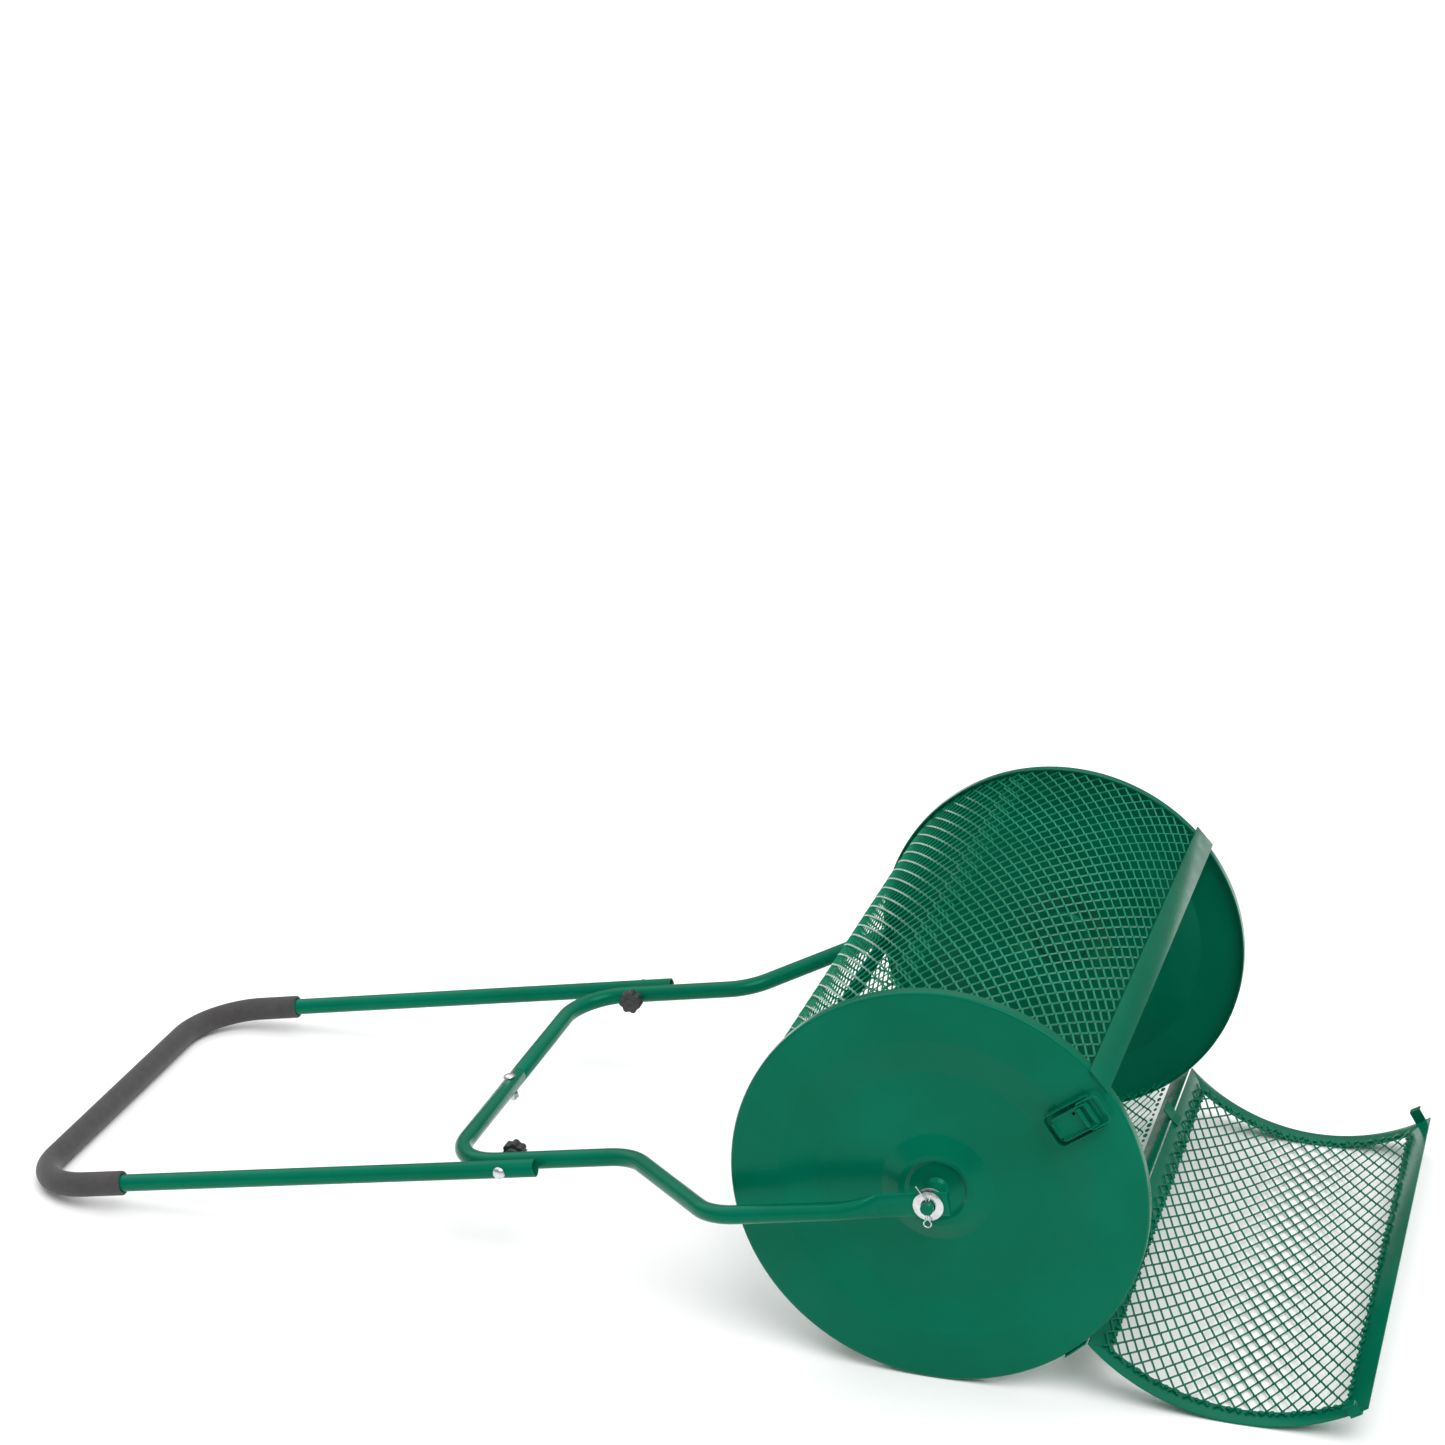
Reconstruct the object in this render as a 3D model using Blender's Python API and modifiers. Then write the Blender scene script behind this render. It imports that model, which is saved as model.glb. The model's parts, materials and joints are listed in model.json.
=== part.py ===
"""Push-along compost and peat moss spreader.

A mesh drum turns between two pressed steel discs on stub axles. A hinged mesh door opens a
quarter of its wall, a toggle latch on each disc holds the door shut, and a tubular handle in two
stages pushes or pulls it. Metres, +Z up. The axle runs along X, the door faces -Y and the handle
lies towards +Y. Round the drum, angles are counted from the front (-Y) upwards.
"""

import math

import bmesh
import bpy
from mathutils import Matrix, Vector

# Fits, in metres
GAP = 0.0003            # between two pieces that touch
FACET = 6.0             # degrees turned by one flat of a large curved sheet
CURVED_GAP = 0.0006     # between two coaxial curved sheets, over what a flat falls short

# Drum
DRUM_RADIUS = 0.199
DRUM_WIDTH = 0.610      # over the two disc faces
SHEET = 0.0015          # discs, strips and door frame
MESH_THICKNESS = 0.0018
FLANGE_DEPTH = 0.012    # how far a disc's rim reaches over the mesh
STRIP_WIDTH = 0.026
STRIP_OVERHANG = 0.004  # of the strip above the door, past each disc
STRIP_MESH_LAP = 0.010  # how far the drum mesh reaches under the strips
SEAM_ANGLE = 38.3       # where the closed door meets the strip above it
HINGE_ANGLE = -43.2
SEAM_GAP = 0.0015
BRACE_ANGLES = {"upper": 185.0, "lower": 245.0}
BRACE_WIDTH = 0.025
BRACE_THICKNESS = 0.002

# End disc pressing: radius and outward height of each ring of its profile
RECESS_RADIUS = 0.150
RECESS_FLOOR_RADIUS = 0.117
RECESS_DEPTH = 0.007
HUB_RADIUS = 0.054
HUB_TOP_RADIUS = 0.036
HUB_HEIGHT = 0.008
DISH_RADIUS = 0.030
DISH_FLOOR_RADIUS = 0.026
DISH_DEPTH = 0.0035
RIM_ROUND = 0.002

# Axle ends
BOSS_WALL = 0.0018
BOSS_REACH = 0.023      # past the disc face
BOSS_INSIDE = 0.010
AXLE_RADIUS = 0.0062
AXLE_PLAY = 0.0005      # round the axle in the arms, washers and boss
AXLE_END = 0.0075       # past the outer washer
AXLE_HEAD_RADIUS = 0.010
AXLE_HEAD = 0.004
WASHER_RADIUS = 0.0145
WASHER_THICKNESS = 0.0015
COTTER_WIRE = 0.00065
COTTER_SPREAD = 0.00075
COTTER_HOLE = 0.0019
COTTER_EYE = 0.0035

# Door
DOOR_STRIP = 0.025      # width of its frame strips
HINGE_GAP = 0.001       # each side of the hinge line
HINGE_LIFT = 0.0002      # of the hinge line, off the strips' outer face
TAB_WIDTH = 0.022
TAB_OFFSET = 0.180      # of the hinge tabs from the middle
TAB_REACH = 0.014       # past the bend at the hinge line
TAB_ROOT = 0.009        # on the door's side of it
TAB_CLEARANCE = 0.002   # round the swinging tab
KEEPER_WIDTH = 0.012
KEEPER_DROP = 0.0145    # from the strip's face to the end of the keeper
KEEPER_NOSE = 0.0085
KEEPER_STANDOFF = 0.0013

# Latches, on each disc face, along the radius at LATCH_ANGLE
LATCH_ANGLE = 36.0
LATCH_INSET = 0.023     # of the lever's pivot from the rim
LATCH_PIN_RADIUS = 0.0015
LATCH_PIN_LIFT = 0.0060  # above the disc face
LATCH_BASE_LENGTH = 0.050
LATCH_BASE_PAST_PIN = 0.006
LATCH_WALL = 0.0012
LATCH_BASE_HEIGHT = 0.0085
LATCH_PLAY = 0.0003
LEVER_WIDTH = 0.0250
LEVER_LENGTH = 0.036
LEVER_SHEET = 0.0015
LEVER_BARREL = 0.0030
BAIL_PIVOT_BACK = 0.0075  # from the lever's pivot, towards the axle
BAIL_PIVOT_LIFT = 0.0032  # above the lever's pivot
BAIL_BARREL = 0.0024
BAIL_WIRE = 0.0011
BAIL_PLAY = 0.0006      # between its legs and the lever
BAIL_SIDE_GAP = 0.0009  # between its legs and the base's walls
BAIL_KEEPER_GAP = 0.001
BAIL_CORNER = 0.004

# Handle, in its own plane: x across, y away from the axle
ARM_RADIUS = 0.009
ARM_FLAT_THICKNESS = 0.006
ARM_FLAT_WIDTH = 0.0245
ARM_FLAT_BACK = 0.019   # past the axle
ARM_FLAT_END = 0.050
ARM_ROUND_FROM = 0.095
ARM_JOG = 0.009         # of the round tube, outwards from its flat end
ARM_INNER_X = 0.2077
ARM_PAST_DRUM = 0.013   # where the arm turns inwards, past the drum
ARM_INWARD_RUN = 0.122  # from there to where it runs straight again
ARM_INNER_RUN = 0.199   # from there to the crossbar
ARM_BEND_RADIUS = 0.055
CROSSBAR_CORNER = 0.055
SOCKET_WALL = 0.0016
SPIGOT_LENGTH = 0.035
SOCKET_PLAY = 0.0004
CROSS_BOLT_X = -0.022
BOLT_RADIUS = 0.0030
BOLT_PLAY = 0.0003
BOLT_HEAD_RADIUS = 0.0065
BOLT_HEAD_HEIGHT = 0.0032
NUT_RADIUS = 0.0062
NUT_HEIGHT = 0.005
CROSS_BOLT_TAIL = 0.003
CLAMP_TO_CROSSBAR = 0.066
LEG_STUB = 0.036        # of the upper handle's legs, past the clamp bolts
UPPER_REACH = 0.543     # from the clamp bolts to the grip
GRIP_CORNER = 0.070
LEG_RADIUS = 0.009
TUBE_WALL = 0.0012
FOAM_RADIUS = 0.0128
FOAM_LEG = 0.117        # how far the foam comes down each leg from the grip
KNOB_RADIUS = 0.0125
KNOB_LOBES = 7
KNOB_LOBE_DEPTH = 0.0016
KNOB_HEIGHT = 0.012
KNOB_COLLAR_RADIUS = 0.0075
KNOB_COLLAR = 0.004
KNOB_BORE_DEPTH = 0.012

# Colours: sRGB, metallic, roughness
FINISHES = {
    "green_powder_coat": ((0.0, 0.42, 0.32), 0.0, 0.28),
    "zinc_plate": ((0.78, 0.78, 0.76), 1.0, 0.32),
    "black_plastic": ((0.06, 0.06, 0.06), 0.0, 0.45),
    "grey_foam": ((0.20, 0.19, 0.19), 0.0, 0.95),
}

HALF_WIDTH = DRUM_WIDTH / 2
STRIP_FACE = DRUM_RADIUS + GAP              # inner face of the flat strips
HINGE_FACE = STRIP_FACE + SHEET             # their outer face
HINGE_RADIUS = HINGE_FACE + HINGE_LIFT
FLOOR_DROP = DRUM_RADIUS * math.cos(math.radians(FACET / 2))
WALL_OUTSIDE = DRUM_RADIUS - SHEET - CURVED_GAP
DOOR_ARC_INSIDE = DRUM_RADIUS + CURVED_GAP
DOOR_ARC_OUTSIDE = DOOR_ARC_INSIDE + SHEET
BOSS_RADIUS = AXLE_RADIUS + AXLE_PLAY + BOSS_WALL
BOSS_END = HALF_WIDTH + BOSS_REACH
INNER_WASHER_X = BOSS_END + GAP
ARM_FLAT_X = INNER_WASHER_X + WASHER_THICKNESS + GAP + ARM_FLAT_THICKNESS / 2
OUTER_WASHER_X = ARM_FLAT_X + ARM_FLAT_THICKNESS / 2 + GAP
AXLE_TIP = OUTER_WASHER_X + WASHER_THICKNESS + AXLE_END
COTTER_X = OUTER_WASHER_X + WASHER_THICKNESS + COTTER_HOLE + GAP
ARM_OUTER_X = ARM_FLAT_X + ARM_JOG
ARM_BEND_OUT = DRUM_RADIUS + ARM_PAST_DRUM
ARM_BEND_IN = ARM_BEND_OUT + ARM_INWARD_RUN
CROSSBAR_AT = ARM_BEND_IN + ARM_INNER_RUN
CLAMP_AT = CROSSBAR_AT - CLAMP_TO_CROSSBAR
GRIP_AT = CLAMP_AT + UPPER_REACH
LEG_X = ARM_INNER_X + ARM_RADIUS + GAP + LEG_RADIUS
SPIGOT_RADIUS = ARM_RADIUS - SOCKET_WALL - SOCKET_PLAY
LATCH_PIN_AT = DRUM_RADIUS - LATCH_INSET
KEEPER_TIP = HINGE_FACE + GAP - KEEPER_DROP
BAIL_HALF_WIDTH = LEVER_WIDTH / 2 + BAIL_PLAY + BAIL_WIRE
LATCH_BASE_WIDTH = 2 * (BAIL_HALF_WIDTH + BAIL_WIRE + BAIL_SIDE_GAP + LATCH_WALL)
BAIL_REACH = KEEPER_TIP + SHEET + BAIL_KEEPER_GAP + BAIL_WIRE - LATCH_PIN_AT


def degrees_for(length, radius):
    """The angle that a length takes up round a circle."""
    return math.degrees(length / radius)


def around(radius, angle, x=0.0):
    """A point at a radius and an angle counted from the front upwards."""
    turn = math.radians(angle)
    return Vector((x, -radius * math.cos(turn), radius * math.sin(turn)))


def handle_slope():
    """How far the handle drops, so that the foam grip lies on the floor beside the rims."""
    return -math.degrees(math.asin((FLOOR_DROP - FOAM_RADIUS) / GRIP_AT))


def door_opening():
    """How far the door stands open when its curved back rests on the floor."""
    lift = (DOOR_ARC_OUTSIDE - FLOOR_DROP) / HINGE_RADIUS
    down = math.sin(math.radians(-HINGE_ANGLE))
    return 180 - math.degrees(math.asin(down + lift)) + HINGE_ANGLE


# ---------------------------------------------------------------- scene and frames


def clear_scene():
    for obj in list(bpy.data.objects):
        bpy.data.objects.remove(obj, do_unlink=True)


def collection(name):
    made = bpy.data.collections.new(name)
    bpy.context.scene.collection.children.link(made)
    return made


def finish_material(name):
    if name in bpy.data.materials:
        return bpy.data.materials[name]
    colour, metallic, roughness = FINISHES[name]
    material = bpy.data.materials.new(name)
    material.use_nodes = True
    shader = material.node_tree.nodes["Principled BSDF"]
    linear = [c / 12.92 if c <= 0.04045 else ((c + 0.055) / 1.055) ** 2.4 for c in colour]
    shader.inputs["Base Color"].default_value = (*linear, 1.0)
    shader.inputs["Metallic"].default_value = metallic
    shader.inputs["Roughness"].default_value = roughness
    material.diffuse_color = (*linear, 1.0)
    return material


def frame(name, parent, place=(0, 0, 0), turn=0.0):
    """An empty that carries the pieces of one moving group, turned about X."""
    empty = bpy.data.objects.new(name, None)
    PARTS.objects.link(empty)
    empty.empty_display_size = 0.02
    empty.parent = parent
    empty.location = place
    empty.rotation_euler = (math.radians(turn), 0, 0)
    return empty


def keep(obj, name, parent, finish):
    """Names a finished piece, gives it its material and hangs it on its frame."""
    obj.name = name
    obj.data.name = name
    obj.parent = parent
    obj.data.materials.clear()
    obj.data.materials.append(finish_material(finish))
    obj.data.shade_smooth()
    obj.data.set_sharp_from_angle(angle=math.radians(35))
    return obj


def mirrored(left, name):
    """The right-hand copy of a left-hand piece."""
    mesh = left.data.copy()
    mesh.transform(Matrix.Scale(-1, 4, (1, 0, 0)))
    mesh.flip_normals()
    copy = bpy.data.objects.new(name, mesh)
    mesh.name = name
    PARTS.objects.link(copy)
    copy.parent = left.parent
    copy.location = left.location.copy()
    copy.location.x *= -1
    copy.rotation_euler = left.rotation_euler.copy()
    return copy


# ---------------------------------------------------------------- modelling tools


def object_of(mesh_or_bmesh, name="piece"):
    if isinstance(mesh_or_bmesh, bmesh.types.BMesh):
        mesh = bpy.data.meshes.new(name)
        mesh_or_bmesh.to_mesh(mesh)
        mesh_or_bmesh.free()
    else:
        mesh = mesh_or_bmesh
    obj = bpy.data.objects.new(name, mesh)
    PARTS.objects.link(obj)
    return obj


def applied(obj):
    """The object with its modifiers made part of its mesh, welded and facing out."""
    bpy.context.view_layer.update()
    graph = bpy.context.evaluated_depsgraph_get()
    mesh = bpy.data.meshes.new_from_object(obj.evaluated_get(graph))
    work = bmesh.new()
    work.from_mesh(mesh)
    bmesh.ops.remove_doubles(work, verts=work.verts, dist=1e-6)
    bmesh.ops.dissolve_degenerate(work, edges=work.edges, dist=1e-7)
    bmesh.ops.recalc_face_normals(work, faces=work.faces)
    work.to_mesh(mesh)
    work.free()
    old = obj.data
    if obj.type == "MESH":
        obj.modifiers.clear()
        obj.data = mesh
        bpy.data.meshes.remove(old)
        return obj
    made = object_of(mesh, obj.name)
    made.matrix_world = obj.matrix_world
    bpy.data.objects.remove(obj, do_unlink=True)
    return made


def solidify(obj, thickness, outwards=True):
    modifier = obj.modifiers.new("wall", "SOLIDIFY")
    modifier.thickness = thickness
    modifier.offset = 1.0 if outwards else -1.0
    modifier.use_even_offset = True
    return applied(obj)


def bevelled(obj, width, segments=1):
    modifier = obj.modifiers.new("edges", "BEVEL")
    modifier.width = width
    modifier.segments = segments
    modifier.limit_method = "ANGLE"
    modifier.angle_limit = math.radians(40)
    return applied(obj)


def box(low, high, bevel=0.0):
    work = bmesh.new()
    bmesh.ops.create_cube(work, size=1.0)
    low, high = Vector(low), Vector(high)
    bmesh.ops.scale(work, vec=high - low, verts=work.verts)
    bmesh.ops.translate(work, vec=(high + low) / 2, verts=work.verts)
    made = object_of(work)
    return bevelled(made, bevel) if bevel else made


def cylinder(radius, start, end, segments=24, end_radius=None):
    """A cylinder or cone from one point to another."""
    start, end = Vector(start), Vector(end)
    work = bmesh.new()
    bmesh.ops.create_cone(
        work, cap_ends=True, segments=segments, radius1=radius,
        radius2=radius if end_radius is None else end_radius, depth=(end - start).length)
    turn = Vector((0, 0, 1)).rotation_difference(end - start).to_matrix().to_4x4()
    bmesh.ops.transform(work, matrix=Matrix.Translation((start + end) / 2) @ turn, verts=work.verts)
    return object_of(work)


def combined(obj, other, operation):
    """The object after a Boolean with another, which goes to the cutters."""
    for old in list(other.users_collection):
        old.objects.unlink(other)
    CUTTERS.objects.link(other)
    other.hide_render = True
    other.display_type = "WIRE"
    modifier = obj.modifiers.new(operation.lower(), "BOOLEAN")
    modifier.operation = operation
    modifier.solver = "EXACT"
    modifier.object = other
    return applied(obj)


def turned(profile, steps, closed, phase=0.0):
    """A profile of (x, radius) points turned about the X axis."""
    work = bmesh.new()
    points = [work.verts.new((radius, 0, x)) for x, radius in profile]
    for here, after in zip(points, points[1:] + points[:1] if closed else points[1:]):
        work.edges.new((here, after))
    made = object_of(work)
    modifier = made.modifiers.new("turn", "SCREW")
    modifier.steps = modifier.render_steps = steps
    modifier.merge_threshold = 0.00005
    modifier.use_merge_vertices = True
    made = applied(made)
    made.data.transform(Matrix.Rotation(math.radians(90), 4, "Y"))
    made.data.transform(Matrix.Rotation(math.radians(phase), 4, "X"))
    return made


def ring(inner, outer, x, thickness, steps=32):
    """A flat washer or collar whose near face is at x and which grows towards -X."""
    return turned([(x, inner), (x, outer), (x - thickness, outer), (x - thickness, inner)], steps, True)


def cut_by_plane(work, point, normal):
    """Drops what lies on the side that the normal points to."""
    bmesh.ops.bisect_plane(
        work, geom=work.verts[:] + work.edges[:] + work.faces[:], dist=1e-7,
        plane_co=point, plane_no=normal, clear_outer=True)


def curved_sheet(inside, thickness, x_from, x_to, angle_from, angle_to, cuts=()):
    """A sheet rolled about the axle, with its ends trimmed by planes."""
    work = bmesh.new()
    first = [work.verts.new(around(inside, angle_from, x)) for x in (x_from, x_to)]
    edge = work.edges.new(first)
    steps = max(1, round((angle_to - angle_from) / FACET))
    bmesh.ops.spin(
        work, geom=first + [edge], cent=(0, 0, 0), axis=(-1, 0, 0),
        angle=math.radians(angle_to - angle_from), steps=steps)
    for point, normal in cuts:
        cut_by_plane(work, point, normal)
    return solidify(facing_out(object_of(work)), thickness)


def facing_out(obj):
    """Turns the faces of an open sheet away from the axle."""
    work = bmesh.new()
    work.from_mesh(obj.data)
    for face in work.faces:
        middle = face.calc_center_median()
        if face.normal.dot(Vector((0, middle.y, middle.z))) < 0:
            face.normal_flip()
    work.to_mesh(obj.data)
    work.free()
    return obj


def flat_strip(angle, width, x_from, x_to, face, thickness, cuts=(), notches=()):
    """A flat strip that lies across the drum's rim like a tangent, with its inner face at a radius."""
    radial = around(1.0, angle)
    across = around(1.0, angle + 90)
    work = bmesh.new()
    middle = radial * face
    corners = [middle + across * side * width / 2 + Vector((x, 0, 0))
               for x, side in ((x_from, -1), (x_to, -1), (x_to, 1), (x_from, 1))]
    work.faces.new([work.verts.new(corner) for corner in corners])
    for point, normal in cuts:
        cut_by_plane(work, point, normal)
    made = solidify(facing_out(object_of(work)), thickness)
    for x, from_edge, depth, length in notches:
        start = middle + across * (from_edge - depth)
        end = middle + across * from_edge
        cutter = slab(radial, across, Vector((x, 0, 0)) + (start + end) / 2, length, abs(depth) * 2, 0.01)
        made = combined(made, cutter, "DIFFERENCE")
    return made


def slab(radial, across, middle, along_x, along_across, along_radial):
    """A block lined up with a flat strip."""
    made = box((-0.5, -0.5, -0.5), (0.5, 0.5, 0.5))
    axes = Matrix((Vector((1, 0, 0)) * along_x, across * along_across, radial * along_radial)).transposed()
    made.data.transform(Matrix.Translation(middle) @ axes.to_4x4())
    return applied(made)


def extruded(outline, axis_u, axis_v, origin, along, length):
    """An outline drawn on two axes and pushed a length along a third, centred on the origin."""
    work = bmesh.new()
    start = Vector(origin) - Vector(along) * length / 2
    points = [work.verts.new(start + Vector(axis_u) * u + Vector(axis_v) * v) for u, v in outline]
    face = work.faces.new(points)
    grown = bmesh.ops.extrude_face_region(work, geom=[face])
    moved = [item for item in grown["geom"] if isinstance(item, bmesh.types.BMVert)]
    bmesh.ops.translate(work, vec=Vector(along) * length, verts=moved)
    return applied(object_of(work))


def bent_path(corners, radii, step=15.0):
    """A centre line through corner points, with an arc of the given radius at each inner one."""
    corners = [Vector(c) for c in corners]
    path = [corners[0]]
    for before, here, after, radius in zip(corners, corners[1:], corners[2:], radii):
        back, on = (before - here).normalized(), (after - here).normalized()
        half = back.angle(on) / 2
        reach = radius / math.tan(half)
        centre = here + (back + on).normalized() * radius / math.sin(half)
        first, last = here + back * reach - centre, here + on * reach - centre
        sweep = first.angle(last)
        count = max(2, math.ceil(math.degrees(sweep) / step))
        for i in range(count + 1):
            part = i / count
            path.append(centre + (first * math.sin((1 - part) * sweep) + last * math.sin(part * sweep)) / math.sin(sweep))
    path.append(corners[-1])
    return path


def tube(path, radius, wall=0.0, sides=12, cyclic=False):
    """A round bar along a path, or a tube that is open at both ends if it has a wall."""
    curve = bpy.data.curves.new("tube", "CURVE")
    curve.dimensions = "3D"
    curve.bevel_depth = radius
    curve.bevel_resolution = (sides - 4) // 2
    curve.use_fill_caps = not wall and not cyclic
    spline = curve.splines.new("POLY")
    spline.points.add(len(path) - 1)
    for point, place in zip(spline.points, path):
        point.co = (*place, 1.0)
    spline.use_cyclic_u = cyclic
    made = bpy.data.objects.new("tube", curve)
    PARTS.objects.link(made)
    made = applied(made)
    return solidify(made, wall, outwards=False) if wall else made


def smooth_step(value):
    value = min(max(value, 0.0), 1.0)
    return value * value * (3 - 2 * value)


# ---------------------------------------------------------------- drum


def end_disc(axle):
    """A pressed disc: a rim flange, a recessed ring, a raised hub and a dished centre."""
    hub_top = HUB_HEIGHT - RECESS_DEPTH
    bore = BOSS_RADIUS + AXLE_PLAY
    profile = [
        (-FLANGE_DEPTH, DRUM_RADIUS),
        (-RIM_ROUND, DRUM_RADIUS),
        (0.0, DRUM_RADIUS - RIM_ROUND),
        (0.0, RECESS_RADIUS),
        (-RECESS_DEPTH, RECESS_FLOOR_RADIUS),
        (-RECESS_DEPTH, HUB_RADIUS),
        (hub_top, HUB_TOP_RADIUS),
        (hub_top, DISH_RADIUS),
        (hub_top - DISH_DEPTH, DISH_FLOOR_RADIUS),
        (hub_top - DISH_DEPTH, bore),
    ]
    disc = turned([(-(HALF_WIDTH + out), radius) for out, radius in profile], round(360 / FACET), False, FACET / 2)
    work = bmesh.new()
    work.from_mesh(disc.data)
    rim = max(work.faces, key=lambda f: math.hypot(*f.calc_center_median().yz))
    if rim.normal.dot(Vector((0, *rim.calc_center_median().yz))) < 0:
        bmesh.ops.reverse_faces(work, faces=work.faces)
    work.to_mesh(disc.data)
    work.free()
    disc = solidify(disc, SHEET, outwards=False)
    keep(disc, "left_end_disc", axle, "green_powder_coat")
    keep(mirrored(disc, "right_end_disc"), "right_end_disc", axle, "green_powder_coat")


def sill_angle():
    """The angle of the middle of the drum's hinge-side strip."""
    return HINGE_ANGLE - degrees_for(HINGE_GAP + STRIP_WIDTH / 2, HINGE_FACE)


def drum_shell(axle):
    """The drum mesh, the strips on both sides of the door opening and the braces behind it."""
    strip_turn = degrees_for(STRIP_WIDTH, HINGE_FACE)
    jamb = SEAM_ANGLE + degrees_for(SEAM_GAP, HINGE_FACE) / 2 + strip_turn / 2
    sill = sill_angle()
    keep(flat_strip(jamb, STRIP_WIDTH, -HALF_WIDTH - STRIP_OVERHANG, HALF_WIDTH + STRIP_OVERHANG,
                    STRIP_FACE, SHEET), "drum_latch_side_strip", axle, "green_powder_coat")
    keep(flat_strip(sill, STRIP_WIDTH, -HALF_WIDTH, HALF_WIDTH, STRIP_FACE, SHEET),
         "drum_hinge_side_strip", axle, "green_powder_coat")

    lap = degrees_for(STRIP_MESH_LAP, HINGE_FACE)
    upper_end = jamb + strip_turn / 2 - lap
    lower_end = sill - strip_turn / 2 + lap + 360
    wall_end = HALF_WIDTH - RIM_ROUND - CURVED_GAP
    keep(curved_sheet(WALL_OUTSIDE - MESH_THICKNESS, MESH_THICKNESS, -wall_end, wall_end, upper_end, lower_end),
         "drum_mesh_wall", axle, "green_powder_coat")

    inside = HALF_WIDTH - SHEET - GAP
    half_brace = BRACE_WIDTH / 2
    inner_wall = (WALL_OUTSIDE - MESH_THICKNESS) * math.cos(math.radians(FACET / 2))
    brace_face = math.sqrt((inner_wall - GAP) ** 2 - half_brace ** 2) - BRACE_THICKNESS
    for which, angle in BRACE_ANGLES.items():
        keep(flat_strip(angle, BRACE_WIDTH, -inside, inside, brace_face, BRACE_THICKNESS),
             f"drum_back_brace_{which}", axle, "green_powder_coat")


def axle_ends(axle):
    """On each side: the boss, the stub axle with its head inside, two washers and the split pin."""
    bore = AXLE_RADIUS + AXLE_PLAY
    inside = HALF_WIDTH - BOSS_INSIDE
    boss = ring(bore, BOSS_RADIUS, -inside, BOSS_END - inside)
    keep(boss, "left_axle_boss", axle, "green_powder_coat")

    head = -inside + GAP
    stub = turned([
        (head + AXLE_HEAD, 0.0), (head + AXLE_HEAD, AXLE_HEAD_RADIUS), (head, AXLE_HEAD_RADIUS),
        (head, AXLE_RADIUS), (-AXLE_TIP, AXLE_RADIUS), (-AXLE_TIP, 0.0)], 24, False)
    stub = combined(stub, cylinder(COTTER_HOLE, (-COTTER_X, 0, -0.02), (-COTTER_X, 0, 0.02), 12), "DIFFERENCE")
    keep(stub, "left_axle_stub", axle, "green_powder_coat")

    for which, x in (("inner", INNER_WASHER_X), ("outer", OUTER_WASHER_X)):
        washer = ring(bore, WASHER_RADIUS, -x, WASHER_THICKNESS)
        keep(washer, f"left_{which}_washer", axle, "zinc_plate")

    pin = tube(cotter_path(), COTTER_WIRE, sides=8)
    keep(pin, "left_cotter_pin", axle, "zinc_plate")
    for name in ("axle_boss", "axle_stub", "inner_washer", "outer_washer", "cotter_pin"):
        left = bpy.data.objects[f"left_{name}"]
        keep(mirrored(left, f"right_{name}"), f"right_{name}", axle, left.data.materials[0].name)


def cotter_path():
    """A split pin stood on its eye: up one leg from the eye, with both leg ends sprung apart."""
    top = AXLE_RADIUS + 0.0012
    throat = -AXLE_RADIUS - 0.0012
    long_leg = [(0.0135, 0.020), (0.0022, top + 0.002), (COTTER_SPREAD, top)]
    short_leg = [(-COTTER_SPREAD, top), (-0.0022, top + 0.007)]
    start = math.asin(COTTER_SPREAD / COTTER_EYE)
    drop = throat - COTTER_EYE * math.cos(start)
    turn = 2 * math.pi - 2 * start
    eye = [(COTTER_EYE * math.sin(start + turn * i / 12), drop + COTTER_EYE * math.cos(start + turn * i / 12))
           for i in range(13)]
    return [Vector((-COTTER_X, y, z)) for y, z in long_leg + eye + short_leg]


# ---------------------------------------------------------------- door


def mitre(side, edge_angle, inner_angle, keep_arc):
    """The plane on the diagonal of a door frame corner. keep_arc says which piece it trims."""
    outer_x = HALF_WIDTH - GAP
    corner = around(DRUM_RADIUS, edge_angle, side * outer_x)
    inner = around(DRUM_RADIUS, inner_angle, side * (outer_x - DOOR_STRIP))
    radial = around(1.0, (edge_angle + inner_angle) / 2)
    normal = (inner - corner).cross(radial).normalized()
    to_window = Vector((side, 0, 0))
    if (normal.dot(to_window) > 0) == keep_arc:
        normal = -normal
    return corner - normal * GAP / 2, normal


def door_angles():
    """The angles of the door's two long edges, and of its frame's inner edges."""
    low = HINGE_ANGLE + degrees_for(HINGE_GAP, HINGE_FACE)
    high = SEAM_ANGLE - degrees_for(SEAM_GAP, HINGE_FACE) / 2
    strip_turn = degrees_for(DOOR_STRIP, HINGE_FACE)
    return low, low + strip_turn, high - strip_turn, high


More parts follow.
